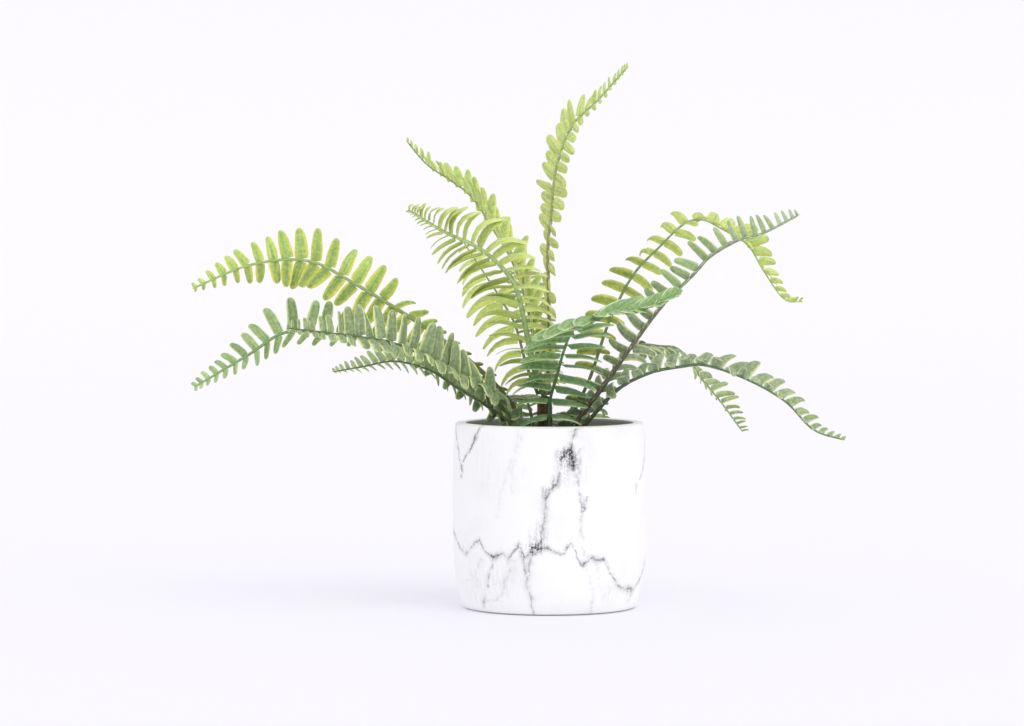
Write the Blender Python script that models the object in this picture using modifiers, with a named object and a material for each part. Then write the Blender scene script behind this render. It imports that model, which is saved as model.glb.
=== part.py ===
"""Potted fern: arching fronds that rise from one crown, in a round marbled pot.

Metres, +Z up. The origin is the middle of the pot's flat underside, and -Y is the front.
Every frond is one solid: a tapering midrib with pairs of flat pinnae grown from its sides.
"""

import math

import bmesh
import bpy
from mathutils import Vector
from mathutils.bvhtree import BVHTree

MM = 0.001
GAP = 0.3 * MM  # clearance between pieces that touch

# Pot: a turned ceramic tub, slightly barrelled
POT_HEIGHT = 115.0 * MM
POT_BELLY = 60.0 * MM
POT_MOUTH = 58.75 * MM
POT_FOOT = 51.0 * MM
POT_BORE = 51.0 * MM
POT_FLOOR = 9.0 * MM
POT_STEPS = 40

# Soil: a low mound that fills the pot to well below its rim
SOIL_EDGE = 85.0 * MM
SOIL_TOP = 88.0 * MM
SOIL_STEPS = 24

# Crown: the knot of old stalk bases, with a short trunk that the upright fronds rise from
CROWN_PLACE = (-3.0 * MM, 1.5 * MM)
CROWN_RADIUS = 10.0 * MM
SHOULDER = 101.0 * MM
TRUNK_RADIUS = 4.2 * MM
TRUNK_TOP = 131.0 * MM
CROWN_STEPS = 16

# Fronds
STALK = 2.6 * MM  # midrib thickness at the crown
STALK_TIP = 0.9 * MM
STALK_STEP = 14.0 * MM  # length of one straight piece of bare stalk
PINNA_NARROWEST = 1.1 * MM  # width of a pinna: this, and a share of its length
PINNA_BROADENING = 0.27
PINNA_THICK = 0.8 * MM
PINNA_BLUNT = 0.55  # width of a pinna's end for its middle
TIP_PINNA = 0.14  # length of the last pinna for the longest
TAPER_FROM = 0.65  # share of the blade past which the pinnae shorten to the tip
FIRST_PINNA = 0.75  # length of the first pinna for the longest
FULL_FROM = 0.3  # share of the blade by which the pinnae have their full length
FOOT = 2.2 * MM  # length of midrib that a pinna grows from
CROWDING = 1.35  # above 1, the pairs stand closer together towards the tip
UP = Vector((0, 0, 1))

# Each frond: the midrib's course from the crown to the tip (mm), the way its upper face looks
# along it, the number of pinna pairs, the longest pinna (mm) and the bare stalk below them (mm).
# Left and right rows have angles in degrees, each a list from the frond's base to its tip: fold
# lifts a row towards the upper face, lean tips it forward, and twist turns each pinna's own face
# towards the tip. Droop hangs the pinnae, and curl rolls their ends under. Tone runs from deep
# green, 0, to bright yellow-green, 1.
FRONDS = {
    "frond_front": {
        "course": [(1, -8, 100), (0, -13, 126), (5, -24, 146), (9, -38, 161), (15, -54, 175),
                   (30, -76, 187), (54, -92, 193), (78, -100, 202)],
        "facing": [(0, 0.9, 0.4), (0, 0.8, 0.6), (-0.3, 0, 1), (-0.3, -0.6, 0.8)],
        "tone": 0.25, "pairs": 19, "pinna": 22, "bare": 14, "droop": 0.1, "curl": 0.15,
        "left": {"fold": [10, 15], "lean": [8, 8], "twist": [80, 70, 10, 0]},
        "right": {"fold": [10, 0], "lean": [8, 8], "twist": [80, 70, 10, 0]}},
    "frond_centre_left": {
        "course": [(-3, -1, 132), (-10, -12, 151), (-19, -28, 194), (-28, -34, 210),
                   (-43, -42, 223), (-64, -50, 233), (-85, -58, 246)],
        "facing": [(0, 1, 0.2), (0.1, 1, 0.2), (0.2, 0.95, 0.3)],
        "tone": 0.8, "pairs": 21, "pinna": 25, "bare": 8, "droop": 0.35, "curl": 0.15,
        "left": {"fold": [0, 0], "lean": [0, -10, 15], "twist": [70, 60]},
        "right": {"fold": [0, 0], "lean": [15, 35], "twist": [70, 60]}},
    "frond_left_front": {
        "course": [(-11.5, -3, 99), (-37, -14, 134), (-58, -28, 145), (-76, -42, 157),
                   (-95, -56, 166), (-114, -70, 170), (-156, -96, 176)],
        "facing": [(0.3, -0.7, 0.6), (0, -0.82, 0.57)],
        "tone": 0.15, "pairs": 21, "pinna": 22, "bare": 22, "droop": 0.1, "curl": 0.1,
        "left": {"fold": [35, 35], "lean": [6, 6], "twist": [0, 0]},
        "right": {"fold": [35, 35], "lean": [6, 6], "twist": [0, 0]}},
    "frond_left_long": {
        "course": [(-12.7, 0.5, 98), (-37, -2, 125), (-74, -8, 149), (-107, -14, 165),
                   (-135, -18, 170), (-162, -22, 171), (-185, -26, 157), (-217, -30, 138)],
        "facing": [(0.2, -0.85, 0.5), (0, -0.9, 0.44)],
        "tone": 0.35, "pairs": 24, "pinna": 21, "bare": 20, "droop": 0.1, "curl": 0.1,
        "left": {"fold": [75, 60, 50, 42], "lean": [10, 10], "twist": [0, 0]},
        "right": {"fold": [26, 26], "lean": [10, 10], "twist": [0, 0]}},
    "frond_left_upper": {
        "course": [(-11.6, 5.9, 99), (-28, 14, 131), (-69, 34, 166), (-126, 54, 201),
                   (-155, 62, 214), (-191, 68, 211), (-228, 72, 196)],
        "facing": [(0.2, -0.9, 0.4), (0, -1, 0.1)],
        "tone": 1.0, "pairs": 24, "pinna": 22, "bare": 26, "droop": 0.0, "curl": 0.15,
        "left": {"fold": [8, 8], "lean": [5, 12], "twist": [0, 0]},
        "right": {"fold": [8, 8], "lean": [-45, -15, 20], "twist": [0, 0]}},
    "frond_left_small": {
        "course": [(-10.5, -6.8, 95), (-27, -12, 117), (-58, -24, 138), (-73, -30, 148),
                   (-94, -38, 154), (-113, -44, 151), (-131, -50, 148)],
        "facing": [(0.2, -0.3, 0.9), (0, -0.3, 0.95)],
        "tone": 0.2, "pairs": 17, "pinna": 13, "bare": 18, "droop": 0.05, "curl": 0.1,
        "left": {"fold": [40, 30], "lean": [20, 20], "twist": [0, 0]},
        "right": {"fold": [20, 25], "lean": [25, 25], "twist": [0, 0]}},
    "frond_top": {
        "course": [(-1, 2, 132), (0, 12, 165), (-1, 10, 221), (1, 8, 240), (4, 6, 271),
                   (14, 4, 298), (29, 0, 313), (48, -6, 334)],
        "facing": [(-0.95, -0.3, 0), (-0.95, -0.3, 0.1), (-0.5, -0.8, 0.3), (-0.4, -0.8, 0.4)],
        "tone": 0.9, "pairs": 22, "pinna": 20, "bare": 14, "droop": 0.1, "curl": 0.15,
        "left": {"fold": [2, 2, 2, 30], "lean": [28, 30, 55, 45], "twist": [0, 0]},
        "right": {"fold": [8, 8, 55, 45], "lean": [-8, -8, 0, 20], "twist": [0, 0]}},
    "frond_high_left": {
        "course": [(-5.2, 4.2, 132), (-6.5, 9.5, 148), (-15, 28, 190), (-24, 38, 215), (-35, 46, 233),
                   (-49, 54, 254), (-63, 60, 265), (-78, 66, 275), (-91, 70, 290)],
        "facing": [(0.5, -0.8, 0.2), (0.5, -0.7, 0.4), (0.5, -0.3, 0.8)],
        "tone": 1.0, "pairs": 21, "pinna": 24, "bare": 14, "droop": 0.0, "curl": 0.15,
        "left": {"fold": [60, 60], "lean": [20, 20], "twist": [0, 0]},
        "right": {"fold": [30, 30], "lean": [45, 58, 52], "twist": [0, 0]}},
    "frond_inner_left": {
        "course": [(-7, 0.2, 132), (-14, 3, 149), (-21, 5, 174), (-29, 6, 189), (-38, 8, 203),
                   (-54, 12, 227)],
        "facing": [(0, -1, 0.2), (0.2, -0.9, 0.3)],
        "tone": 0.85, "pairs": 14, "pinna": 25, "bare": 8, "droop": 0.35, "curl": 0.15,
        "left": {"fold": [5, 5], "lean": [20, 20], "twist": [35, 25]},
        "right": {"fold": [5, 5], "lean": [5, 5], "twist": [45, 35]}},
    "frond_right_upper": {
        "course": [(4.4, 7.7, 100), (24, 10, 139), (37, 18, 176), (52, 26, 205), (68, 32, 222),
                   (84, 38, 237), (96, 41, 240), (107, 44, 235), (125, 48, 224), (135, 50, 208),
                   (148, 52, 190), (159, 54, 188)],
        "facing": [(0, -1, 0.1), (0, -1, 0.1), (0.1, -1, 0.35), (0.7, -0.3, 0.6)],
        "tone": 0.95, "pairs": 25, "pinna": 17, "bare": 24, "droop": 0.15, "curl": 0.2,
        "left": {"fold": [5, 5, 5, 65, 65, 65], "lean": [-6, -6, 0], "twist": [0, 0]},
        "right": {"fold": [5, 5, 5, 30, 60, 65], "lean": [11, 11], "twist": [0, 0]}},
    "frond_right_long": {
        "course": [(5.5, -3, 100), (32, -9, 136), (66, -24, 184), (87, -32, 206), (98, -37, 218),
                   (115, -44, 228), (129, -50, 232), (150, -58, 243)],
        "facing": [(-0.5, -0.7, 0.4), (-0.5, -0.7, 0.5), (-0.2, -0.6, 0.8)],
        "tone": 0.2, "pairs": 23, "pinna": 18, "bare": 20, "droop": 0.1, "curl": 0.15,
        "left": {"fold": [40, 40], "lean": [-25, 25, -15, -10, 5], "twist": [0, 0]},
        "right": {"fold": [65, 65, 50], "lean": [10, 10], "twist": [0, 0]}},
    "frond_right_lower": {
        "course": [(8.2, 0.5, 96), (27, -3, 119), (43, -7, 136), (62, -13, 146), (81, -19, 150),
                   (96, -24, 151), (120, -32, 143), (143, -40, 130), (160, -46, 113),
                   (178, -52, 107)],
        "facing": [(-0.5, -0.3, 0.8), (0, -0.2, 1), (0.2, -0.2, 1)],
        "tone": 0.3, "pairs": 22, "pinna": 16, "bare": 18, "droop": 0.1, "curl": 0.2,
        "left": {"fold": [45, 45], "lean": [15, 15], "twist": [0, 0]},
        "right": {"fold": [55, 55], "lean": [15, 15], "twist": [0, 0]}},
    "frond_right_drooping": {
        "course": [(7.6, 5, 96), (28, 8, 130), (48, 14, 157), (57, 20, 162), (68, 30, 161),
                   (82, 40, 158), (95, 50, 141), (109, 58, 124), (123, 66, 105)],
        "facing": [(-0.3, -0.3, 0.9), (0, -0.2, 1), (0.2, -0.95, 0.2)],
        "tone": 0.5, "pairs": 18, "pinna": 15, "bare": 26, "droop": 0.1, "curl": 0.1,
        "left": {"fold": [-10, 5], "lean": [8, 20], "twist": [0, 0]},
        "right": {"fold": [-10, 65], "lean": [8, 8], "twist": [0, 0]}},
    "frond_back_high": {
        "course": [(-1.2, 5.6, 132), (-1.5, 18, 146), (-9, 44, 176), (-14, 66, 198), (-19, 88, 207),
                   (-26, 108, 204)],
        "facing": [(0, -1, 0.3), (0, -0.2, 1), (0, 0.2, 1)],
        "tone": 0.4, "pairs": 15, "pinna": 14, "bare": 18, "droop": 0.15, "curl": 0.15,
        "left": {"fold": [10, 15], "lean": [12, 12], "twist": [30, 0]},
        "right": {"fold": [10, 15], "lean": [12, 12], "twist": [30, 0]}},
    "frond_back_left": {
        "course": [(-7.2, 11.9, 96), (-11, 24, 116), (-15, 44, 127), (-20, 66, 126), (-27, 90, 108),
                   (-33, 110, 80), (-36, 122, 52)],
        "facing": [(0, -0.6, 0.8), (0, 0.1, 1), (0, 0.9, 0.5)],
        "tone": 0.5, "pairs": 17, "pinna": 16, "bare": 22, "droop": 0.15, "curl": 0.15,
        "left": {"fold": [15, 20], "lean": [12, 12], "twist": [20, 0]},
        "right": {"fold": [15, 20], "lean": [12, 12], "twist": [20, 0]}},
    "frond_back_right": {
        "course": [(1.6, 11.7, 96), (11, 24, 117), (20, 44, 128), (28, 66, 127), (37, 90, 110),
                   (45, 110, 84), (50, 122, 56)],
        "facing": [(0, -0.6, 0.8), (0, 0.1, 1), (0, 0.9, 0.5)],
        "tone": 0.6, "pairs": 17, "pinna": 16, "bare": 22, "droop": 0.15, "curl": 0.15,
        "left": {"fold": [15, 20], "lean": [12, 12], "twist": [20, 0]},
        "right": {"fold": [15, 20], "lean": [12, 12], "twist": [20, 0]}},
}

GLAZED_WHITE = (0.82, 0.83, 0.84)
DARK_SOIL = (0.045, 0.032, 0.022)
OLD_STALK = (0.07, 0.04, 0.02)
BRIGHT_GREEN = (0.30, 0.42, 0.04)
DEEP_GREEN = (0.08, 0.19, 0.05)


def clear_scene():
    for obj in list(bpy.data.objects):
        bpy.data.objects.remove(obj, do_unlink=True)


def material(name, colour, roughness):
    made = bpy.data.materials.new(name)
    made.use_nodes = True
    shader = made.node_tree.nodes["Principled BSDF"]
    shader.inputs["Base Color"].default_value = (*colour, 1)
    shader.inputs["Roughness"].default_value = roughness
    shader.inputs["Metallic"].default_value = 0.0
    return made


def add_object(name, mesh, finish, collection):
    obj = bpy.data.objects.new(name, mesh)
    mesh.materials.append(finish)
    collection.objects.link(obj)
    return obj


def turned(name, profile, steps, finish, collection):
    """A solid turned about the Z axis from a profile of (radius, height) points.

    The profile starts and ends on the axis and runs down the outer side.
    """
    mesh = bpy.data.meshes.new(name)
    edges = [(i, i + 1) for i in range(len(profile) - 1)]
    mesh.from_pydata([(r, 0, z) for r, z in profile], edges, [])
    obj = add_object(name, mesh, finish, collection)
    screw = obj.modifiers.new("turn", "SCREW")
    screw.steps = screw.render_steps = steps
    screw.use_merge_vertices = True
    screw.merge_threshold = 0.0001
    screw.use_smooth_shade = True
    return obj


def make_pot(finish, collection):
    rim_mid = (POT_MOUTH + POT_BORE) / 2
    profile = [
        (0, POT_FLOOR),
        (POT_BORE - 5 * MM, POT_FLOOR),
        (POT_BORE, POT_FLOOR + 6 * MM),
        (POT_BORE, POT_HEIGHT - 1.6 * MM),
        (POT_BORE + 1.2 * MM, POT_HEIGHT - 0.3 * MM),
        (rim_mid, POT_HEIGHT),
        (POT_MOUTH - 1.2 * MM, POT_HEIGHT - 0.4 * MM),
        (POT_MOUTH, POT_HEIGHT - 2 * MM),
        (POT_BELLY - 0.3 * MM, POT_HEIGHT - 17 * MM),
        (POT_BELLY, 80 * MM),
        (POT_BELLY, 48 * MM),
        (POT_BELLY - 0.6 * MM, 32 * MM),
        (POT_BELLY - 1.7 * MM, 20 * MM),
        (POT_BELLY - 3.4 * MM, 10 * MM),
        (POT_BELLY - 5.4 * MM, 3.5 * MM),
        (POT_BELLY - 7.0 * MM, 0.9 * MM),
        (POT_FOOT, 0),
        (0, 0),
    ]
    return turned("pot", profile, POT_STEPS, finish, collection)


def make_soil(finish, collection):
    radius = POT_BORE - GAP
    profile = [
        (0, SOIL_TOP),
        (CROWN_RADIUS + 4 * MM, SOIL_TOP),
        (radius * 0.7, (SOIL_TOP + SOIL_EDGE) / 2),
        (radius, SOIL_EDGE),
        (radius, POT_FLOOR + 6 * MM),
        (radius - 5 * MM, POT_FLOOR + GAP),
        (0, POT_FLOOR + GAP),
    ]
    return turned("soil", profile, SOIL_STEPS, finish, collection)


def make_crown(finish, collection):
    base = SOIL_TOP + GAP
    profile = [
        (0, TRUNK_TOP),
        (TRUNK_RADIUS - 1 * MM, TRUNK_TOP),
        (TRUNK_RADIUS, TRUNK_TOP - 1.5 * MM),
        (TRUNK_RADIUS, SHOULDER + 8 * MM),
        (TRUNK_RADIUS + 1.5 * MM, SHOULDER + 2 * MM),
        (CROWN_RADIUS * 0.8, SHOULDER - 3 * MM),
        (CROWN_RADIUS, base + 4 * MM),
        (CROWN_RADIUS * 0.9, base),
        (0, base),
    ]
    crown = turned("crown", profile, CROWN_STEPS, finish, collection)
    crown.location = (*CROWN_PLACE, 0)
    return crown


def smooth(points, steps=10):
    """Points on a smooth curve through the given ones (Catmull-Rom)."""
    ends = [2 * points[0] - points[1]] + points + [2 * points[-1] - points[-2]]
    curve = []
    for a, b, c, d in zip(ends, ends[1:], ends[2:], ends[3:]):
        for k in range(steps):
            t = k / steps
            curve.append((2 * b + (c - a) * t + (2 * a - 5 * b + 4 * c - d) * t**2
                          + (3 * b - a - 3 * c + d) * t**3) / 2)
    return curve + [points[-1]]


def at_share(values, share):
    """Numbers or vectors spaced evenly along a frond, read at a share of its length."""
    at = min(max(share, 0.0), 1.0) * (len(values) - 1)
    i = min(int(at), len(values) - 2)
    return values[i] + (values[i + 1] - values[i]) * (at - i)


class Midrib:
    """The line of a frond: its place, direction and facing at any length along it."""

    def __init__(self, form):
        self.line = smooth([Vector(p) * MM for p in form["course"]])
        self.facing = [Vector(f).normalized() for f in form["facing"]]
        self.runs = [0.0]
        for a, b in zip(self.line, self.line[1:]):
            self.runs.append(self.runs[-1] + (b - a).length)
        self.length = self.runs[-1]

    def place(self, run):
        run = min(max(run, 0.0), self.length)
        i = max(k for k, r in enumerate(self.runs[:-1]) if r <= run)
        step = (run - self.runs[i]) / (self.runs[i + 1] - self.runs[i])
        return self.line[i].lerp(self.line[i + 1], step)

    def frame(self, run):
        """Place, direction to the tip, right-hand side and upper face at a length along."""
        ahead = (self.place(run + 2 * MM) - self.place(run - 2 * MM)).normalized()
        face = at_share(self.facing, run / self.length)
        face = (face - ahead * face.dot(ahead)).normalized()
        return self.place(run), ahead, ahead.cross(face), face

    def half_thickness(self, run):
        return (STALK + (STALK_TIP - STALK) * (run / self.length) ** 0.7) / 2


def spread_corners(face, old, new, wide, high):
    """Set a square face's corners round a new centre, keeping which corner is which."""
    centre, along, across = old
    to, new_along, new_across = new
    for vert in face.verts:
        offset = vert.co - centre
        a = math.copysign(wide, offset.dot(along))
        b = math.copysign(high, offset.dot(across))
        vert.co = to + new_along * a + new_across * b


def extruded(bm, face):
    return bmesh.ops.extrude_discrete_faces(bm, faces=[face])["faces"][0]


def pinna_sections(frame, side, length, form, share):
    """Middle and end of a pinna: centre, width and face directions, half width, half thickness."""
    place, ahead, right, up = frame
    row = form["left" if side < 0 else "right"]
    fold, lean, twist = (math.radians(at_share(row[key], share)) for key in ("fold", "lean", "twist"))
    out = right * (side * math.cos(fold)) + up * math.sin(fold)
    out = out * math.cos(lean) + ahead * math.sin(lean)
    wide = (ahead - out * ahead.dot(out)).normalized()
    flat = out.cross(wide) * side
    wide, flat = (wide * math.cos(twist) - flat * math.sin(twist),
                  flat * math.cos(twist) + wide * math.sin(twist))
    half_width = (PINNA_NARROWEST + PINNA_BROADENING * length) / 2
    sections = []
    for reach, breadth in ((0.5, 1.0), (1.0, PINNA_BLUNT)):
        bend = (UP * form["droop"] + flat * form["curl"]) * reach**2
        centre = place + (out - bend).normalized() * (length * reach)
        sections.append((centre, wide, flat, half_width * breadth, PINNA_THICK / 2))
    return sections


def pinna_hull(seat, sections):
    """A pinna, fattened by the gap, as a collision tree that starts a little off the midrib."""
    middle, wide, flat, half, thick = sections[0]
    foot = (seat.lerp(middle, 0.25), wide, flat, FOOT / 2, thick)
    corners = []
    for centre, wide, flat, half, thick in [foot] + sections:
        for a, b in ((-1, -1), (1, -1), (1, 1), (-1, 1)):
            corners.append(centre + wide * (half + GAP) * a + flat * (thick + GAP) * b)
    last = len(corners) - 4
    quads = [(0, 1, 2, 3), (last, last + 1, last + 2, last + 3)]
    for k in range(0, last, 4):
        quads += [(k + j, k + (j + 1) % 4, k + 4 + (j + 1) % 4, k + 4 + j) for j in range(4)]
    return BVHTree.FromPolygons(corners, quads)


def grow_pinna(bm, face, frame, side, length, form, share, taken):
    """Extrude one pinna from a side face of the midrib, shorter where its neighbours need it.

    Returns its collision tree, or None where there is no room for a pinna.
    """
    seat = face.calc_center_median()
    for trial in (1.0, 0.75, 0.5):
        sections = pinna_sections(frame, side, length * trial, form, share)
        hull = pinna_hull(seat, sections)
        if not any(hull.overlap(other) for other in taken):
            break
    else:
        return None
    old = (seat, frame[1], frame[3])
    for to, wide, flat, half, thick in sections:
        face = extruded(bm, face)
        spread_corners(face, old, (to, wide, flat), half, thick)
        old = (to, wide, flat)
    tip, wide, flat = old
    for way in (-1, 1):
        pair = [v for v in face.verts if (v.co - tip).dot(wide) * way > 0]
        bmesh.ops.pointmerge(bm, verts=pair, merge_co=(pair[0].co + pair[1].co) / 2)
    return hull


def pinna_runs(midrib, form):
    """Lengths along the midrib where the pairs stand."""
    bare = form["bare"] * MM
    blade = midrib.length - bare
    pairs = form["pairs"]
    return [bare + blade * (1 - (1 - (i + 0.5) / pairs) ** CROWDING) for i in range(pairs)]


def pinna_length(form, share):
    """Full length along the middle of the frond, less at its foot and least at its tip."""
    foot = FIRST_PINNA + (1 - FIRST_PINNA) * min(1, share / FULL_FROM)
    tip = TIP_PINNA + (1 - TIP_PINNA) * min(1, (1 - share) / (1 - TAPER_FROM))
    return form["pinna"] * MM * foot * tip


def stations(midrib, form):
    """Rings along the midrib after its first, as (run, whether a pair grows just behind it)."""
    runs = pinna_runs(midrib, form)
    bare_end = runs[0] - FOOT
    bare_rings = max(1, round(bare_end / STALK_STEP))
    rings = [(bare_end * (k + 1) / bare_rings, False) for k in range(bare_rings)]
    for run, following in zip(runs, runs[1:] + [midrib.length]):
        half = min(FOOT, 0.45 * (following - run)) / 2
        rings += [(run - half, False), (run + half, True)]
    return rings


def grow_midrib(bm, midrib, form):
    """Extrude the tapering square midrib. Returns the left and right faces that pairs grow from."""
    place, ahead, right, up = midrib.frame(0.0)
    half = midrib.half_thickness(0.0)
    corners = bmesh.ops.create_circle(bm, cap_ends=True, segments=4, radius=half)["verts"]
    for vert, (a, b) in zip(corners, ((1, 1), (-1, 1), (-1, -1), (1, -1))):
        vert.co = place + right * half * a + up * half * b
    first = corners[0].link_faces[0]
    grown = bmesh.ops.extrude_face_region(bm, geom=[first], use_keep_orig=True)["geom"]
    face = next(g for g in grown if isinstance(g, bmesh.types.BMFace))
    old = (place, right, up)
    seats = []
    for k, (run, leafy) in enumerate(stations(midrib, form)):
        if k > 0:
            face = extruded(bm, face)
        place, ahead, right, up = midrib.frame(run)
        half = midrib.half_thickness(run)
        spread_corners(face, old, (place, right, up), half, half)
        old = (place, right, up)
        if leafy:
            sides = [f for e in face.edges for f in e.link_faces if f is not face]
            sides.sort(key=lambda f: (f.calc_center_median() - place).dot(right))
            seats.append((sides[0], sides[-1]))
    face = extruded(bm, face)
    bmesh.ops.pointmerge(bm, verts=list(face.verts), merge_co=midrib.place(midrib.length))
    return seats


def midrib_tree(form):
    """A frond's midrib alone as a collision tree, so that no pinna grows through it."""
    bm = bmesh.new()
    grow_midrib(bm, Midrib(form), form)
    tree = BVHTree.FromBMesh(bm)
    bm.free()
    return tree


def make_frond(name, form, finish, collection, taken):
    """One frond; the pinnae that it grows are added to the shapes that are taken."""
    midrib = Midrib(form)
    bm = bmesh.new()
    seats = grow_midrib(bm, midrib, form)
    runs = pinna_runs(midrib, form)
    for run, seat_pair in zip(runs, seats):
        share = (run - runs[0]) / (midrib.length - runs[0])
        for side, seat in zip((-1, 1), seat_pair):
            hull = grow_pinna(bm, seat, midrib.frame(run), side, pinna_length(form, share), form,
                              share, taken)
            if hull:
                taken.append(hull)
    bmesh.ops.recalc_face_normals(bm, faces=bm.faces)
    mesh = bpy.data.meshes.new(name)
    bm.to_mesh(mesh)
    bm.free()
    return add_object(name, mesh, finish, collection)


def main():
    clear_scene()
    collection = bpy.data.collections.new("potted_fern")
    bpy.context.scene.collection.children.link(collection)
    holders = [
        make_pot(material("marbled_ceramic", GLAZED_WHITE, 0.4), collection),
        make_soil(material("potting_soil", DARK_SOIL, 0.95), collection),
        make_crown(material("old_stalks", OLD_STALK, 0.8), collection),
    ]
    bpy.context.view_layer.update()
    depsgraph = bpy.context.evaluated_depsgraph_get()
    held = [BVHTree.FromObject(obj, depsgraph) for obj in holders]
    midribs = {name: midrib_tree(form) for name, form in FRONDS.items()}
    pinnae = []
    for name, form in FRONDS.items():
        green = [at_share(ends, form["tone"]) for ends in zip(DEEP_GREEN, BRIGHT_GREEN)]
        others = [tree for key, tree in midribs.items() if key != name]
        taken = held + others + pinnae
        known = len(taken)
        make_frond(name, form, material(name + "_green", green, 0.5), collection, taken)
        pinnae += taken[known:]


main()
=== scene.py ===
"""A fern in a round marbled pot.

The fern is a sword fern: fronds with two rows of narrow leaflets arch out of one crown. The pot is
cast, glazed white and marbled in grey. The file follows the way it is put together: the pot, the
soil, the crown, one leaflet, the fronds that carry its copies, and the studio round them.
"""

import random
from math import atan2, cos, pi, radians, sin, sqrt

import bmesh
import bpy
from mathutils import Matrix, Vector, noise


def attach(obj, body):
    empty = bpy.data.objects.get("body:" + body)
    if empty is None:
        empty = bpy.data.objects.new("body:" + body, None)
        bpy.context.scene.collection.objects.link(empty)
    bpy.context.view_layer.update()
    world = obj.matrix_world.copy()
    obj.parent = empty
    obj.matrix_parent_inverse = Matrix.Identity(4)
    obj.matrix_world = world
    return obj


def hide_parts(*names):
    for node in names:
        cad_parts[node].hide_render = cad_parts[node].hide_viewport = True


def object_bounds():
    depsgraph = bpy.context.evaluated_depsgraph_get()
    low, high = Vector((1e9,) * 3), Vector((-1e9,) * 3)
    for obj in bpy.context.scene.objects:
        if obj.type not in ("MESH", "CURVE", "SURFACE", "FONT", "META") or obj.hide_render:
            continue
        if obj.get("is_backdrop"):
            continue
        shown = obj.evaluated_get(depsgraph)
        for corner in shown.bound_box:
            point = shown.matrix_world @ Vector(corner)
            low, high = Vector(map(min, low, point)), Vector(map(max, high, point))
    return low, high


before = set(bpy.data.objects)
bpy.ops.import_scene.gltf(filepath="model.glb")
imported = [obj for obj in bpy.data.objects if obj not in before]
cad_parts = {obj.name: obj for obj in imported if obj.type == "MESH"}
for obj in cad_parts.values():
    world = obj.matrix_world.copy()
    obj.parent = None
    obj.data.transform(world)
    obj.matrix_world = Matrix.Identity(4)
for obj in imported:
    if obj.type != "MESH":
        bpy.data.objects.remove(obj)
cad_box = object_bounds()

# ----------------------------------------
# Pot: a cast ceramic tub with straight, faintly barrelled sides, a round foot and a thick flat
# rim. Its outside is dipped in white glaze with grey ink veins floated on, then satin fired.
# ----------------------------------------

MM = 0.001  # in metres
POT_FOOT = 51.0
POT_BORE = 51.0
POT_BELLY = 60.0
POT_MOUTH = 58.75
POT_HEIGHT = 115.0
POT_FLOOR = 9.0
POT_SIDES = 128
POT_FACET = 50  # degrees past which an edge is sharp
# (radius, height) in mm, from the middle of the underside up the outside and down the bore
POT_RINGS = [
    (POT_FOOT, 0), (POT_FOOT + 1.1, 0.25), (POT_FOOT + 2.2, 0.9), (POT_FOOT + 3.7, 3),
    (POT_BELLY - 3.6, 9), (POT_BELLY - 1.9, 18), (POT_BELLY - 0.9, 28), (POT_BELLY - 0.2, 42),
    (POT_BELLY, 56), (POT_BELLY, 76), (POT_BELLY - 0.3, 96), (POT_MOUTH + 0.3, 108),
    (POT_MOUTH, 112.4), (POT_MOUTH - 0.35, 113.9), (POT_MOUTH - 1.2, 114.7),
    (POT_MOUTH - 2.4, POT_HEIGHT), (POT_BORE + 2.2, POT_HEIGHT), (POT_BORE + 0.8, 114.5),
    (POT_BORE, 113), (POT_BORE, 90), (POT_BORE, POT_FLOOR + 6), (POT_BORE - 5, POT_FLOOR),
]


def select(*pieces):
    """Selects these pieces and nothing else, and makes the first one active."""
    bpy.ops.object.select_all(action="DESELECT")
    for piece in reversed(pieces):
        piece.select_set(True)
        bpy.context.view_layer.objects.active = piece


def edit_all():
    """Opens the active object's mesh for editing, with all of it selected."""
    bpy.ops.object.mode_set(mode="EDIT")
    bpy.ops.mesh.select_all(action="SELECT")


def lathe(name, rings, sides):
    """A round solid: a disc whose face is extruded from ring to ring and scaled to each radius."""
    select()
    radius, height = rings[0]
    bpy.ops.mesh.primitive_circle_add(
        vertices=sides, radius=radius * MM, fill_type="NGON", location=(0, 0, height * MM))
    made = bpy.context.object
    made.name = made.data.name = name
    bpy.ops.object.transform_apply(location=True)
    edit_all()
    for next_radius, next_height in rings[1:]:
        rise = (0, 0, (next_height - height) * MM)
        bpy.ops.mesh.extrude_region_move(TRANSFORM_OT_translate={"value": rise})
        share = next_radius / radius
        middle = (0, 0, next_height * MM)
        bpy.ops.transform.resize(value=(share, share, 1), center_override=middle)
        radius, height = next_radius, next_height
    bpy.ops.mesh.select_all(action="SELECT")
    bpy.ops.mesh.normals_make_consistent(inside=False)
    bpy.ops.object.mode_set(mode="OBJECT")
    return made


def linear(hex_colour):
    """An sRGB hex colour as linear values, with an alpha of 1."""
    parts = [int(hex_colour[i:i + 2], 16) / 255 for i in (1, 3, 5)]
    return (*(c / 12.92 if c <= 0.04045 else ((c + 0.055) / 1.055) ** 2.4 for c in parts), 1)


def fill(node, sockets):
    """Gives a node's sockets their values, or links from other sockets or nodes."""
    for socket, value in sockets.items():
        if isinstance(value, bpy.types.Node):
            value = next(output for output in value.outputs if output.enabled)
        if isinstance(value, bpy.types.NodeSocket):
            node.id_data.links.new(value, node.inputs[socket])
        else:
            node.inputs[socket].default_value = value


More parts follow.
